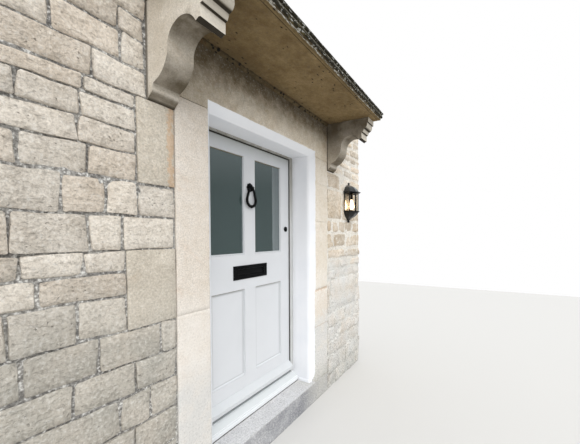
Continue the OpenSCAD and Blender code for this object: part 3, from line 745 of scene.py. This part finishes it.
def dress(piece, rounding, at_edge, depth, size, seed, joints, end, film):
    """Rounds the painted arris, wears the faces and rakes the joints. Where the stone ends,
    inside the arris, a film of paint fills the joint, so that the two stones meet."""
    round_edge(piece, rounding, at_edge)
    cut_grid(piece, 0.035)
    ease_arrises(piece, 0.003)
    weather(piece, depth, size, seed, lambda co: co.y <= FRAME_Y - 0.004)
    for joint in joints:
        rake_joint(piece, joint, 0.004)
    for vert in piece.data.vertices:
        if abs(vert.co.z - end) < 0.005 and abs(vert.co.x) < ARRIS_HALF - 0.002:
            vert.co.z = end + film
    smooth(piece, 35)


JOINT_FILM = 0.0001  # the paint that is left between jamb and lintel
for node, seed, joints, stone in (
        ("jamb_left", 4, [1.03], left_jamb_stone),
        ("jamb_right", 9, [0.945, 1.53, 1.86], right_jamb_stone)):
    jamb = from_frame(node + "_stones", node)
    dress(jamb, 0.016, lambda co: abs(abs(co.x) - REVEAL_HALF) < 0.001 and abs(co.y - CHAMFER) < 0.001,
          0.0016, 0.07, seed, joints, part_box(node)[1].z, -JOINT_FILM)
    settle(jamb, stone, "building", "dressed_stone", node)


# The paint laps on to the step at the foot of each reveal, in a thick rounded lip. Its
# plan runs along the chamfer and then along the reveal, and it spreads at its foot.
def turn_towards(piece, way):
    """All faces of an open piece are turned to this side."""
    outward(piece)
    if sum(face.normal.dot(way) * face.area for face in piece.data.polygons) < 0:
        with editing(piece):
            bpy.ops.mesh.flip_normals()


STEP_TOP = 0.168
LIP_PLAN = [Vector((ARRIS_HALF - 0.027, 0.024)), Vector((REVEAL_HALF, 0.049)), Vector((REVEAL_HALF - 0.002, 0.148))]
LIP_SPREAD = [Vector((-0.002, -0.003)), Vector((-0.009, -0.009)), Vector((-0.006, 0.0))]
lip_paint, shader, place = finish_of("paint_lip")
coats = put("Group", {"Vector": place}, node_tree=thick_paint)
shown(shader, {"Base Color": coats["Colour"], "Roughness": coats["Roughness"], "Height": coats["Height"]}, 0.002)
for side, name in ((-1, "paint_lip_left"), (1, "paint_lip_right")):
    lip = added("grid", name, x_subdivisions=24, y_subdivisions=5, size=2)
    for vert in lip.data.vertices:
        along, rise = (vert.co.x + 1) / 2 * 1.999, (vert.co.y + 1) / 2
        leg, part = int(along), along % 1
        spread = (1 - rise) ** 0.55 * (0.9 + 0.4 * noise.noise(Vector((along * 3, side, 0))))
        x, y = LIP_PLAN[leg].lerp(LIP_PLAN[leg + 1], part) + LIP_SPREAD[leg].lerp(LIP_SPREAD[leg + 1], part) * spread
        z = STEP_TOP - 0.0015 + 0.026 * rise ** 0.8 * min(1.0, 0.3 + along * 2)
        vert.co = (side * x, y, z)
    turn_towards(lip, X * -side)
    modified(lip, "SOLIDIFY", thickness=0.004, offset=-1)
    smooth(lip, 60)
    settle(lip, lip_paint, "building", "dressed_stone")

# The joint between each jamb's foot and the step is pointed flush with gritty mortar,
# which is pressed in and struck off by hand.
foot_mortar = stone_finish("foot_mortar", (200, 198, 191), (178, 176, 168), OCHRE, 0.1, 0.5, 0.006, grit=0.7)
for name, x0, x1 in (
        ("foot_pointing_left", EDGE_L, -ARRIS_HALF + 0.006),
        ("foot_pointing_right", ARRIS_HALF - 0.006, EDGE_R)):
    strip = block(name, (x0, 0.0, STEP_TOP - 0.011), (x1, 0.012, STEP_TOP + 0.009))
    cut_across(strip, 0, spaced(x0, x1, 0.01))
    for vert in strip.data.vertices:
        vert.co.z += 0.004 * noise.noise(vert.co * 40 + Z * vert.co.z * 400)
        if vert.co.y < 0.002:
            vert.co.y += 0.0012 + 0.0012 * noise.noise(vert.co * 60)
    smooth(strip, 50)
    settle(strip, foot_mortar, "building", "dressed_stone")

lintel = from_frame("lintel_stone", "lintel")
dress(lintel, 0.012, lambda co: abs(co.z - ARRIS_TOP + CHAMFER) < 0.001 and abs(co.y - CHAMFER) < 0.001,
      0.002, 0.08, 6, [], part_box("lintel")[0].z, JOINT_FILM)
settle(lintel, lintel_stone, "building", "lintel_stone", "lintel")

# Step: one long slab of hard grey stone that runs on under the jambs, its arris worn
# round and pale by feet.
step_stone = stone_finish(
    "step_stone", (214, 214, 215), (199, 199, 201), (228, 225, 219), 0.4, 0.5, 0.006,
    [(2, 0.166, 0.148, 1.0, (140, 141, 146), 1, 1), (0, 0.25, 0.6, 0.9, (192, 190, 184), 1, 1)],
    rugged=0.5, grit=0.46, grain=90)
step = from_frame("stone_step", "threshold")
cut_grid(step, 0.03)
ease_arrises(step, 0.007, 3)
weather(step, 0.003, 0.06, 13, lambda co: co.z >= 0.01 and co.y <= FRAME_Y - 0.06)
smooth(step, 35)
settle(step, step_stone, "building", "step_stone", "threshold")

# Hood: one flat stone slab, moulded along its front and both ends, with a sloped top and
# a drip groove below. Its underside is brown and pitted, and lichen blackens the moulding.
DRIP_Y, QUIRK_Y = -0.436, -0.449
lichen, given, result = new_group(
    "lichen", {"Vector": "Vector", "Color": "Under, Crust, Flake", "Float": "Crusted, Flaked"}, {"Color": "Colour"},
    Flake=colour(200, 200, 194))
drawn = stretched(given["Vector"], (0.5, 0.5, 1.4))
crusted = ramp(noise_at(drawn, 44, 7, 0.74) + given["Crusted"] * 0.35, 0.6, 0.68)
flaked = ramp(noise_at(drawn, 80, 6, 0.7) + given["Flaked"] * 0.35, 0.62, 0.7)
shade = mixed(crusted, given["Under"], given["Crust"])
feed(result, {"Colour": mixed(flaked, shade, given["Flake"])})


def facing(place):
    """Which way the surface faces, in three parts."""
    return parts_of(put("NewGeometry", tree=place.tree)["Normal"])


def hood_marks(place, look):
    """Lichen on the ovolo and the roll, a pale line between them, painted shade in the grooves
    below, a painted highlight on the soffit's front edge, rust where the slab meets the wall, and black pocks in its
    underside."""
    parts = parts_of(place)
    out, height = parts[1], parts[2]
    below = ramp(height, SOFFIT + 0.008, SOFFIT + 0.006)
    above_fillet = ramp(height, SOFFIT, SOFFIT + 0.002) * ramp(facing(place)[2], -0.85, -0.6)
    on_roll = ramp(height, SOFFIT + 0.0125, SOFFIT + 0.0165)
    pale_line = ramp(height, SOFFIT + 0.033, SOFFIT + 0.035) * ramp(height, SOFFIT + 0.042, SOFFIT + 0.040)
    ovolo = put("Group", {
        "Vector": place, "Under": colour(112, 106, 92), "Crust": colour(56, 52, 42),
        "Flake": colour(198, 197, 188), "Crusted": 0.5, "Flaked": 0.33}, node_tree=lichen)
    roll = put("Group", {
        "Vector": place, "Under": colour(92, 84, 54), "Crust": colour(36, 32, 19),
        "Crusted": 0.75, "Flaked": 0.17}, node_tree=lichen)
    shade = mixed(above_fillet, look["Base Color"], ovolo["Colour"])
    shade = mixed(on_roll, shade, roll["Colour"])
    shade = mixed(pale_line * 0.45, shade, colour(150, 144, 126))
    # Painted shade: the drip groove and the quirk are cut in the slab, and their colour is darkened as well.
    for groove, half, depth in ((DRIP_Y, 0.004, 0.75), (QUIRK_Y, 0.0025, 0.5)):
        line = ramp((out - groove).maths("ABSOLUTE"), half, half * 0.6) * below
        shade = mixed(line * depth, shade, colour(52, 44, 30))
    rust_line = ramp(out + noise_at(place, 14, 5, 0.65) * 0.05, -0.006, 0.012)
    rusty = rust_line * ramp(noise_at(place, 3.5, 4, 0.6), 0.5, 0.62)
    shade = mixed(rusty * 0.75, shade, colour(70, 40, 16))
    # Painted highlight: a paler strip along the soffit's front edge.
    lit_edge = ramp(out, DRIP_Y, DRIP_Y - 0.004) * below
    shade = mixed(lit_edge * 0.3, shade, colour(132, 113, 78))
    pocks = ramp(cells_at(stretched(place, (1.0, 1.9, 1.0)), 19), 0.22, 0.13)
    pocks = pocks * ramp(noise_at(place, 6, 4), 0.5, 0.54)
    look["Base Color"] = mixed(pocks * below, shade, colour(24, 19, 11))


# The dark band just behind the soffit's front arris is a painted shade line.
hood_stone = stone_finish(
    "hood_stone", (138, 117, 81), (110, 90, 57), (96, 74, 42), 0.55, 1.0, 0.005,
    [(1, -0.13, 0.0, 0.5, (84, 74, 54), 1, 1), (0, 0.1, -0.8, 0.4, (86, 72, 48), 1, 1)],
    [(1, -0.4565, 0.002, 0.6, (60, 50, 32))],
    rugged=0.12, grit=0.22, grain=60, grit_pale=(140, 119, 82), over=hood_marks)
hood = from_frame("hood_slab", "hood")
cut_grid(hood, 0.04)
ease_arrises(hood, 0.002, 1, 40)
for groove, half, depth in ((DRIP_Y, 0.0035, 0.005), (QUIRK_Y, 0.002, 0.002)):
    cut_across(hood, 1, [groove - half, groove, groove + half])
    for vert in hood.data.vertices:
        if abs(vert.co.y - groove) < 0.0004 and vert.co.z < SOFFIT + 0.001:
            vert.co.z += depth
weather(hood, 0.0014, 0.05, 21, lambda co: co.y <= -0.012)
keep_within(hood, *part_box("hood"))
smooth(hood, 38)
settle(hood, hood_stone, "building", "hood_stone", "hood")


# Pointing: a fillet of cement in the angle between the hood and the lintel, cracked,
# with small holes where it has crumbled.
def crumbled(place, look):
    holes = ramp(cells_at(place, 34), 0.36, 0.28) * ramp(noise_at(place, 5, 3), 0.42, 0.5)
    look["Base Color"] = mixed(holes, look["Base Color"], colour(10, 7, 4))


old_cement = stone_finish(
    "old_cement", (98, 84, 58), (74, 62, 40), (96, 54, 22), 1.0, 1.0, 0.006,
    [(1, -0.008, -0.015, 0.7, (50, 40, 26), 1, 1)], over=crumbled)
FILLET_TOP, FILLET_HEIGHT = SOFFIT + 0.001, 0.023
fillet = block(
    "cement_fillet", (EDGE_L + 0.001, -0.017, FILLET_TOP - FILLET_HEIGHT), (EDGE_R - 0.001, 0.0, FILLET_TOP))
cut_across(fillet, 0, spaced(EDGE_L, EDGE_R, 0.012))
cut_across(fillet, 1, [-0.011, -0.005])
cut_across(fillet, 2, [SOFFIT - 0.014, SOFFIT - 0.006])
for vert in fillet.data.vertices:
    drop = (FILLET_TOP - vert.co.z) / FILLET_HEIGHT
    worn = (noise.noise(vert.co * 21) + noise.noise(vert.co * 70)) * 0.5
    bite = max(0.0, noise.noise(Vector((vert.co.x * 55, 3.1, vert.co.z * 30))) - 0.28)
    if vert.co.y < -0.001:
        vert.co.y *= max(0.12, 1 - drop * 0.9 + worn * 0.3 - bite * 1.6)
    if drop > 0.8:
        vert.co.z += worn * 0.008
smooth(fillet, 40)
settle(fillet, old_cement, "building", "lintel_stone")


# Brackets: two carved limestone scrolls built into the wall under the hood, the left one
# the mirror image of the right one. Their faces are grey-brown, darkest at the top under the hood, with soiling and
# painted shade together.
def bracket_grime_and_shade(place, look):
    """Grime and painted shade on the undersides and on the sides towards the door, painted
    light on the fronts, painted shade under the nose, and damp at the wall."""
    parts, ways = parts_of(place), facing(place)
    inward = ways[0] * parts[0].maths("SIGN")
    inner_side = ramp(inward, -0.5, -0.9) * ramp(parts[2], 2.02, 2.34, 0.25, 1.0)
    grime_and_shade = ramp(ways[2], 0.1, -0.75).maths("MAXIMUM", inner_side)
    grime_and_shade = grime_and_shade * ramp(noise_at(place, 8, 5, 0.6), 0.3, 0.6, 0.65, 1.0)
    nose = ramp(parts[1], -0.24, -0.28)
    lit_fronts = ramp(ways[1], -0.6, -0.85) * nose
    nose_shade = ramp(ways[2], -0.72, -0.86) * nose
    shade = mixed(grime_and_shade * 0.92, look["Base Color"], colour(72, 61, 40))
    shade = mixed(lit_fronts * 0.5, shade, colour(222, 215, 201))
    shade = mixed(nose_shade * 0.9, shade, colour(38, 33, 25))
    look["Base Color"] = mixed(ramp(parts[1], -0.011, -0.003, 0, 0.7), shade, colour(46, 40, 30))


bracket_stone = stone_finish(
    "bracket_stone", (221, 213, 200), (203, 193, 177), OCHRE, 0.12, 0.4, 0.004,
    [(2, 2.30, 2.41, 0.35, (120, 108, 88), 1.5, 1)], over=bracket_grime_and_shade)
for node in ("bracket_left", "bracket_right"):
    bracket = from_frame(node + "_scroll", node)
    cut_grid(bracket, 0.028)
    ease_arrises(bracket, 0.0018, 1, 30)
    weather(bracket, 0.0018, 0.045, 31, lambda co: co.y <= -0.01)
    keep_within(bracket, *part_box(node))
    smooth(bracket, 28)
    settle(bracket, bracket_stone, "building", "lintel_stone", node)


# Door frame and leaf: painted timber in a pale grey satin, with faint brush marks along
# the wood and soft arrises. Painted shade of the hood darkens the top of the leaf.
def timber_finish(name, paint, dull, along, dirt=(), patchy=0.6, over=None):
    """Brushed paint, whose marks run along the axis along."""
    material, shader, place = finish_of(name)
    brush = noise_at(stretched(place, [0.04 if axis == along else 1 for axis in range(3)]), 260, 4, 0.6)
    film = ramp(noise_at(place, 5, 4, 0.5), 0.4, 0.7, 0, 0.6)
    look = {
        "Base Color": soiled_and_shaded(place, mixed(film, colour(*paint), colour(*dull)), dirt, patchy),
        "Roughness": ramp(brush, 0.3, 0.7, 0.35, 0.47), "Height": brush}
    if over:
        over(place, look)
    shown(shader, look, 0.0005)
    return material


def finish_node(node, material, width=0.0, segments=2):
    """A node that is shown as it is, in its own material and with eased arrises."""
    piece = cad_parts[node]
    piece.data.materials.clear()
    piece.data.materials.append(material)
    if width:
        piece.modifiers.new("weld", "WELD").merge_threshold = WELD
        easing = piece.modifiers.new("arris", "BEVEL")
        easing.width, easing.segments = width, segments
        easing.limit_method, easing.angle_limit = "ANGLE", math.radians(35)


def painted_light_on_front(place, look):
    """Painted light: the sill's front is paler than its top."""
    front = ramp(facing(place)[1], -0.6, -0.9)
    look["Base Color"] = mixed(front, look["Base Color"], colour(232, 234, 236))


def corner_shade(low, high, place, look):
    """Painted shade where the panel meets its moulding, which fills the space from low to high."""
    parts, corner = parts_of(place), 1.0
    for axis in (0, 2):
        for edge in (low[axis], high[axis]):
            corner = (parts[axis] - edge).maths("ABSOLUTE").maths("MINIMUM", corner)
    look["Base Color"] = mixed(ramp(corner, 0.022, 0.012, 0, 0.33), look["Base Color"], colour(150, 152, 152))


DOOR_PAINT = ((216, 218, 221), (211, 213, 216))
# Painted shade of the hood: the leaf darkens towards its top.
HOOD_SHADE = [(2, 1.9, 2.1, 0.85, (150, 153, 144), 2, 2)]
upright_paint = timber_finish("door_paint_upright", *DOOR_PAINT, 2, HOOD_SHADE, 0.1)
crosswise_paint = timber_finish("door_paint_crosswise", *DOOR_PAINT, 0, HOOD_SHADE, 0.1)
# The frame darkens towards its head: dirt, and painted shade in the corner of the reveal and the head.
frame_paint = timber_finish(
    "frame_paint", (198, 199, 198), (188, 188, 185), 2, [(2, 1.3, 2.1, 0.75, (118, 112, 94), 3, 0.5)])
board_paint = timber_finish("weatherboard_paint", (206, 209, 211), (200, 203, 205), 0)
sill_paint = timber_finish("sill_paint", (212, 216, 217), (203, 207, 208), 0, over=painted_light_on_front)
for paint, width, nodes in (
        (upright_paint, 0, ("stile_hinge", "stile_lock", "muntin_upper", "muntin_lower")),
        (crosswise_paint, 0, ("top_rail", "mid_rail", "bottom_rail")),
        (board_paint, 0.0015, ("weatherboard",)),
        (frame_paint, 0.0015, ("frame_jamb_left", "frame_jamb_right", "frame_head")),
        (sill_paint, 0.002, ("timber_sill",))):
    for node in nodes:
        finish_node(node, paint, width)
for node in ("panel_left", "panel_right"):
    edge_shade = partial(corner_shade, *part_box(node.replace("panel", "moulding")))
    finish_node(node, timber_finish(node + "_paint", *DOOR_PAINT, 2, over=edge_shade))


# Painted shade in two gaps: a dark strip along the sill's foot, which shows as a line between
# the sill and the step, and a near-black strip in the angle between the frame's stop and leaf.
def plain_finish(name, scale, detail, roughness, low, high, sheen, relief=None, **fixed):
    """One even material, whose fine grain shows in its colour, sheen and relief. Two equal
    colours are one colour."""
    material, shader, place = finish_of(name)
    grain = noise_at(place, scale, detail, roughness)
    tint = colour(*low) if low == high else mixed(grain, colour(*low), colour(*high))
    feed(shader, {"Base Color": tint, "Roughness": ramp(grain, 0.3, 0.7, *sheen)})
    feed(shader, {key.replace("_", " "): setting for key, setting in fixed.items()})
    if relief:
        feed(shader, {"Normal": put("Bump", {"Height": grain, "Distance": relief, "Strength": 1.0})})
    return material


sill_gap_shade = plain_finish("sill_gap_dark", 110, 4, 0.65, (58, 58, 60), (98, 96, 92), (0.75, 0.95), 0.002)
SILL_HALF = 0.496
joint = block("sill_gap_strip", (-SILL_HALF, 0.1495, STEP_TOP - 0.002), (SILL_HALF, 0.1535, STEP_TOP + 0.0045))
cut_across(joint, 0, spaced(-SILL_HALF, SILL_HALF, 0.015))
for vert in joint.data.vertices:
    if vert.co.z > STEP_TOP:
        vert.co.z += 0.0012 * noise.noise(vert.co * 35)
ease_arrises(joint, 0.0006, 1)
settle(joint, sill_gap_shade, "building", "painted_timber")

stop_gap_finish = plain_finish("stop_gap_dark", 90, 4, 0.6, (34, 34, 30), (58, 56, 48), (0.7, 0.85), 0.0004)
STOP_HALF, STOP_TOP, LEAF_FOOT = 0.466, 2.059, 0.246
GAP_STRIP_FRONT, GAP_STRIP_BACK = 0.2125, 0.218
stop_gap_shade = joined("stop_gap_strip", [
    block("stop_gap_shade", (x0, GAP_STRIP_FRONT, z0), (x1, GAP_STRIP_BACK, STOP_TOP)) for x0, x1, z0 in (
        (-STOP_HALF, 0.006 - STOP_HALF, LEAF_FOOT),
        (STOP_HALF - 0.007, STOP_HALF, LEAF_FOOT),
        (0.006 - STOP_HALF, STOP_HALF - 0.007, STOP_TOP - 0.009))])
ease_arrises(stop_gap_shade, 0.0012)
settle(stop_gap_shade, stop_gap_finish, "building", "painted_timber")

# Beads and mouldings: planed strips round the panes and the lower panels, mitred at their
# corners, with a sloped inner edge. The one at the foot is taller, to shed water.
LEAF_Y, INFILL_Y = 0.219, 0.231
BEAD, BEAD_FOOT, CRACK = 0.0045, 0.0095, 0.001


def mitred_frame(low, high, width, foot, front_y, back_y, slope):
    """A frame of moulding in the leaf's plane. Its inner edge is slope deeper than its
    outer one, and deeper still at the foot."""
    piece = added("plane", "moulding", size=1)
    for vert in piece.data.vertices:
        vert.co = (low[0] if vert.co.x < 0 else high[0], front_y, low[1] if vert.co.y < 0 else high[1])
    with editing(piece):
        for share in (0.3, 0.4, 0.3):
            bpy.ops.mesh.inset(thickness=width * share)
        bpy.ops.mesh.delete(type="FACE")
        bpy.ops.mesh.select_all(action="SELECT")
        bpy.ops.mesh.extrude_region_move(TRANSFORM_OT_translate={"value": (0, back_y - front_y, 0)})
    outward(piece)
    for vert in piece.data.vertices:
        gap = min(vert.co.x - low[0], high[0] - vert.co.x, vert.co.z - low[1], high[1] - vert.co.z)
        at_foot = vert.co.z - low[1] < width * 1.01
        if abs(vert.co.y - front_y) < 0.0001:
            share = min(1, max(0, (gap - width * 0.25) / (width * 0.75)))
            vert.co.y += (back_y - front_y) * (0.85 if at_foot else slope) * share ** 1.6
        if at_foot:
            vert.co.z = low[1] + (vert.co.z - low[1]) * foot / width
    return piece


# Painted shade: faces of the beads that look down are browner.
def painted_underside_shade(place, look):
    under = ramp(facing(place)[2], -0.35, -0.75)
    look["Base Color"] = mixed(under, look["Base Color"], colour(134, 122, 98))


bead_paint = timber_finish("bead_paint", *DOOR_PAINT, 2, over=painted_underside_shade)
for node, slope, thick in (
        ("bead_left", 0.4, 0.004), ("bead_right", 0.4, 0.004),
        ("moulding_left", 0.5, 0.012), ("moulding_right", 0.5, 0.012)):
    low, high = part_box(node)
    back = INFILL_Y + thick
    rim = ((low.x + CRACK, low.z + CRACK), (high.x - CRACK, high.z - CRACK), BEAD - CRACK, BEAD_FOOT - CRACK)
    beads = joined(node + "_mitred", [
        mitred_frame(*rim, LEAF_Y + 0.003, INFILL_Y, slope), mitred_frame(*rim, back + 0.009, back, slope)])
    settle(beads, bead_paint, "door", "painted_timber", node)

# Panes of the door: plain float glass, held by the beads. It is opaque, and its dark colour
# is a painted shade of the dark hall behind it. It is faintly wavy and mirrors a dim sky.
pane_glass, shader, place = finish_of("door_glass")
waves = put("Bump", {"Height": noise_at(place, 3, 2, 0.4), "Distance": 0.002, "Strength": 0.3})
feed(shader, {
    "Base Color": colour(60, 75, 74), "Specular Tint": (0.84, 0.95, 1, 1), "Roughness": 0.03, "IOR": 1.9,
    "Coat Weight": 0.9, "Coat IOR": 1.95, "Coat Roughness": 0.02, "Normal": waves})
for node in ("pane_left", "pane_right"):
    finish_node(node, pane_glass)


# Letter plate: cast iron in thick black paint, with a raised rim and a second rim round
# its mouth. The flap hangs behind the mouth on a pin between two lugs.
def iron_finish(name, tint, roughness, dents, **fixed):
    return plain_finish(
        name, 120, 3, 0.5, tint, tint, (roughness - 0.08, roughness + 0.1), dents, Specular_IOR_Level=0.12, **fixed)


black_iron = iron_finish("black_iron", (3, 4, 6), 0.36, 0.0008)
PIN_Z, LUG_X, LUG_HALF = 1.184, 0.1355, 0.002
PLATE_STEPS = (  # how far each step goes in, how far back, and what is left of its width
    (0.0005, -0.0035, 1), (0.0015, -0.0015, 1), (0.0065, 0.0, 1), (0.002, 0.0022, 1), (0.0095, 0.0, 0.905),
    (0.0015, -0.0012, 1), (0.0022, 0.0, 1), (0.0015, 0.0055, 1))
plate_low, plate_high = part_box("letter_plate")
plate = added("plane", "letter_plate_cast", size=1)
for vert in plate.data.vertices:
    vert.co = (
        plate_low.x if vert.co.x < 0 else plate_high.x, LEAF_Y - 0.001,
        plate_low.z if vert.co.y < 0 else plate_high.z)
with editing(plate):
    for inset, back, squeeze in PLATE_STEPS:
        bpy.ops.mesh.inset(thickness=inset)
        bpy.ops.transform.translate(value=(0, back, 0))
        bpy.ops.transform.resize(value=(squeeze, 1, 1), center_override=(0, 0, 0))
    bpy.ops.mesh.delete(type="FACE")
turn_towards(plate, -Y)
lugs = [
    block("lug", (x - LUG_HALF, LEAF_Y - 0.001, PIN_Z - 0.004), (x + LUG_HALF, 0.2265, PIN_Z + 0.004))
    for x in (-LUG_X, LUG_X)]
plate = joined("letter_plate_cast", [plate, *lugs])
settle(plate, black_iron, "door", "black_iron", "letter_plate")

flap_low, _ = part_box("letter_flap")
FOLD = 0.016  # the height of a ridge along the flap's foot
flap = block("letter_flap_cast", (-0.131, flap_low.y, flap_low.z), (0.131, flap_low.y + 0.003, PIN_Z + 0.002))
cut_across(flap, 2, [flap_low.z + FOLD - 0.003, flap_low.z + FOLD, flap_low.z + FOLD + 0.003])
for vert in flap.data.vertices:
    if abs(vert.co.z - flap_low.z - FOLD) < 0.0002 and vert.co.y < flap_low.y + 0.001:
        vert.co.y -= 0.0012
ease_arrises(flap, 0.0008)


def rod(name, radius, length, place, vertices=16, turn=(0, math.pi / 2, 0)):
    """A round bar, along X unless it is turned another way."""
    return added("cylinder", name, vertices=vertices, radius=radius, depth=length, location=place, rotation=turn)


flap = joined("letter_flap_cast", [flap, rod("pin", 0.0022, 0.273, (0, 0.223, PIN_Z))])
settle(flap, black_iron, "flap", "black_iron", "letter_flap")

# Knocker: a forged rose of eight petals with a boss, and a pear-shaped ring of twisted
# square bar that turns on a pin through the boss and ends in a knob.
ROSE_X, ROSE_Z, PIVOT_Y = -0.008, 1.755, 0.201
EYE_X, RING_R, RING_DROP = 0.0165, 0.0435, 0.0925  # the ring's eyes, its radius and its drop


def ball(centre, radii, turns=16, rings=10):
    return added(
        "uv_sphere", "ball", segments=turns, ring_count=rings, radius=1, location=centre, scale=radii)


rose_parts = []
for i in range(8):
    angle = math.tau * i / 8
    centre = (ROSE_X + 0.0205 * math.cos(angle), LEAF_Y - 0.004, ROSE_Z + 0.0205 * math.sin(angle))
    rose_parts.append(ball(centre, (0.0118, 0.0062, 0.0118), 12, 8))
rose_parts.append(ball((ROSE_X, LEAF_Y - 0.005, ROSE_Z), (0.0215, 0.0085, 0.0215)))
rose_parts.append(ball((ROSE_X, PIVOT_Y + 0.001, ROSE_Z), (0.0135, 0.0145, 0.0135)))
rose_parts.append(rod("pin", 0.0034, 0.054, (ROSE_X, PIVOT_Y, ROSE_Z)))
rose = joined("knocker_rose_forged", rose_parts)
alone(rose)
bpy.ops.object.shade_smooth()
settle(rose, black_iron, "door", "black_iron", "knocker_rose")

# The bar leaves one eye straight, follows the ring and comes back straight to the other.
first = math.atan2(RING_DROP, EYE_X) - math.acos(RING_R / math.hypot(RING_DROP, EYE_X))
bends = [(EYE_X, 0.0)]
for i in range(37):
    angle = first - (math.pi + 2 * first) * i / 36
    bends.append((RING_R * math.cos(angle), -RING_DROP + RING_R * math.sin(angle)))
bends.append((-EYE_X, 0.0))
points = []
for (x0, z0), (x1, z1) in zip(bends, bends[1:]):
    count = 8 if math.hypot(x1 - x0, z1 - z0) > 0.02 else 1
    points += [(x0 + (x1 - x0) * k / count, z0 + (z1 - z0) * k / count) for k in range(count)]
points.append(bends[-1])
alone()
bpy.ops.curve.primitive_nurbs_path_add()
bar = bpy.context.object
bar.data.splines.clear()
line = bar.data.splines.new("POLY")
line.points.add(len(points) - 1)
length = 0.0
for i, (x, z) in enumerate(points):
    if i:
        length += math.hypot(x - points[i - 1][0], z - points[i - 1][1])
    line.points[i].co = (ROSE_X + x, PIVOT_Y, ROSE_Z + z, 1)
    line.points[i].tilt = length * 110
    line.points[i].radius = 0.8 + 0.2 * min(1.0, -z / 0.05)
bar.data.bevel_depth, bar.data.bevel_resolution, bar.data.use_fill_caps = 0.0108, 0, True
bpy.ops.object.convert(target="MESH")
bar = bpy.context.object
ease_arrises(bar, 0.0012, 2, 50)
eyes = [
    added("torus", "eye", major_radius=0.0062, minor_radius=0.0028, major_segments=20, minor_segments=8,
          location=(ROSE_X + x, PIVOT_Y, ROSE_Z), rotation=(0, math.pi / 2, 0))
    for x in (-0.0195, 0.0195)]
knob = ball((ROSE_X, PIVOT_Y, ROSE_Z - RING_DROP - RING_R), (0.013, 0.0115, 0.0118))
ring = joined("knocker_ring_forged", [bar, *eyes, knob])
outward(ring)
smooth(ring, 40)
settle(ring, black_iron, "knocker", "black_iron", "knocker_ring")

# Lock: a black iron escutcheon with a domed edge, let into the lock stile round the end of
# a cylinder, with a raised side on each hand of its key slot.
LOCK_X, LOCK_Z, KEY_X = 0.414, 1.466, 0.0035
ALONG_Y = (math.pi / 2, 0, 0)
escutcheon = rod("escutcheon", 0.0212, 0.007, (LOCK_X, LEAF_Y - 0.003, LOCK_Z), 40, ALONG_Y)
ease_arrises(escutcheon, 0.003, 3)
barrel = rod("barrel", 0.0108, 0.053, (LOCK_X, LEAF_Y + 0.0175, LOCK_Z), 32, ALONG_Y)
ease_arrises(barrel, 0.001)
slot_sides = [
    block("slot_side", (x - 0.0022, LEAF_Y - 0.0102, LOCK_Z - 0.006), (x + 0.0022, LEAF_Y - 0.0085, LOCK_Z + 0.006))
    for x in (LOCK_X - KEY_X, LOCK_X + KEY_X)]
lock = joined("lock_escutcheon", [escutcheon, barrel, *slot_sides])
smooth(lock, 40)
settle(lock, black_iron, "door", "black_iron", "lock_cylinder")

# Hinges: three steel butts, screwed to leaf and frame. Only their knuckles show, in the
# gap at the leaf's left edge.
hinge_steel = iron_finish("hinge_steel", (150, 146, 138), 0.38, 0.0002, Metallic=1.0)
for node in ("hinge_frame_side", "hinge_door_side"):
    finish_node(node, hinge_steel)

# Lantern: half of an eight-sided lantern in gloss black, screwed flat to the wall, with
# clear panes, a faceted roof, a bowl below and a lit bulb before a polished reflector.
enamel = iron_finish("gloss_black", (5, 6, 8), 0.26, 0.0002, Coat_Weight=0.6)
for node in ("lantern_back", "lantern_cage", "lantern_bowl"):
    finish_node(node, enamel, 0.0008, 1)
finish_node("lantern_roof", iron_finish(
    "gloss_black_roof", (6, 8, 11), 0.2, 0.00005, Coat_Weight=1.0, Coat_IOR=1.5, Coat_Roughness=0.04), 0.0008, 1)
finish_node("lamp_holder", iron_finish("lamp_holder", (44, 40, 35), 0.6, 0.0002))

back_low, back_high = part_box("lantern_back")
reflector = block(
    "lantern_reflector", (back_low.x + 0.006, back_low.y - 0.0015, back_low.z + 0.008),
    (back_high.x - 0.006, back_low.y + 0.0005, back_high.z - 0.008))
ease_arrises(reflector, 0.0005, 1)
polished = plain_finish(
    "polished_reflector", 60, 3, 0.5, (240, 232, 215), (228, 216, 194), (0.16, 0.26), Metallic=0.6)
settle(reflector, polished, "building", "black_enamel")

lamp_glass, shader, place = finish_of("lantern_glass")
feed(shader, {"Base Color": (1, 0.99, 0.97, 1), "Roughness": 0.03, "Transmission Weight": 1.0, "IOR": 1.1})
finish_node("lantern_glass", lamp_glass)

lit_bulb, shader, place = finish_of("lit_bulb")
rim = put("LayerWeight", {"Blend": 0.35}, tree=place.tree)["Facing"]
glow = mixed(rim, colour(255, 240, 206), colour(255, 158, 78))
feed(shader, {"Base Color": colour(255, 230, 190), "Emission Color": glow, "Emission Strength": 6.5})
finish_node("lamp_bulb", lit_bulb)
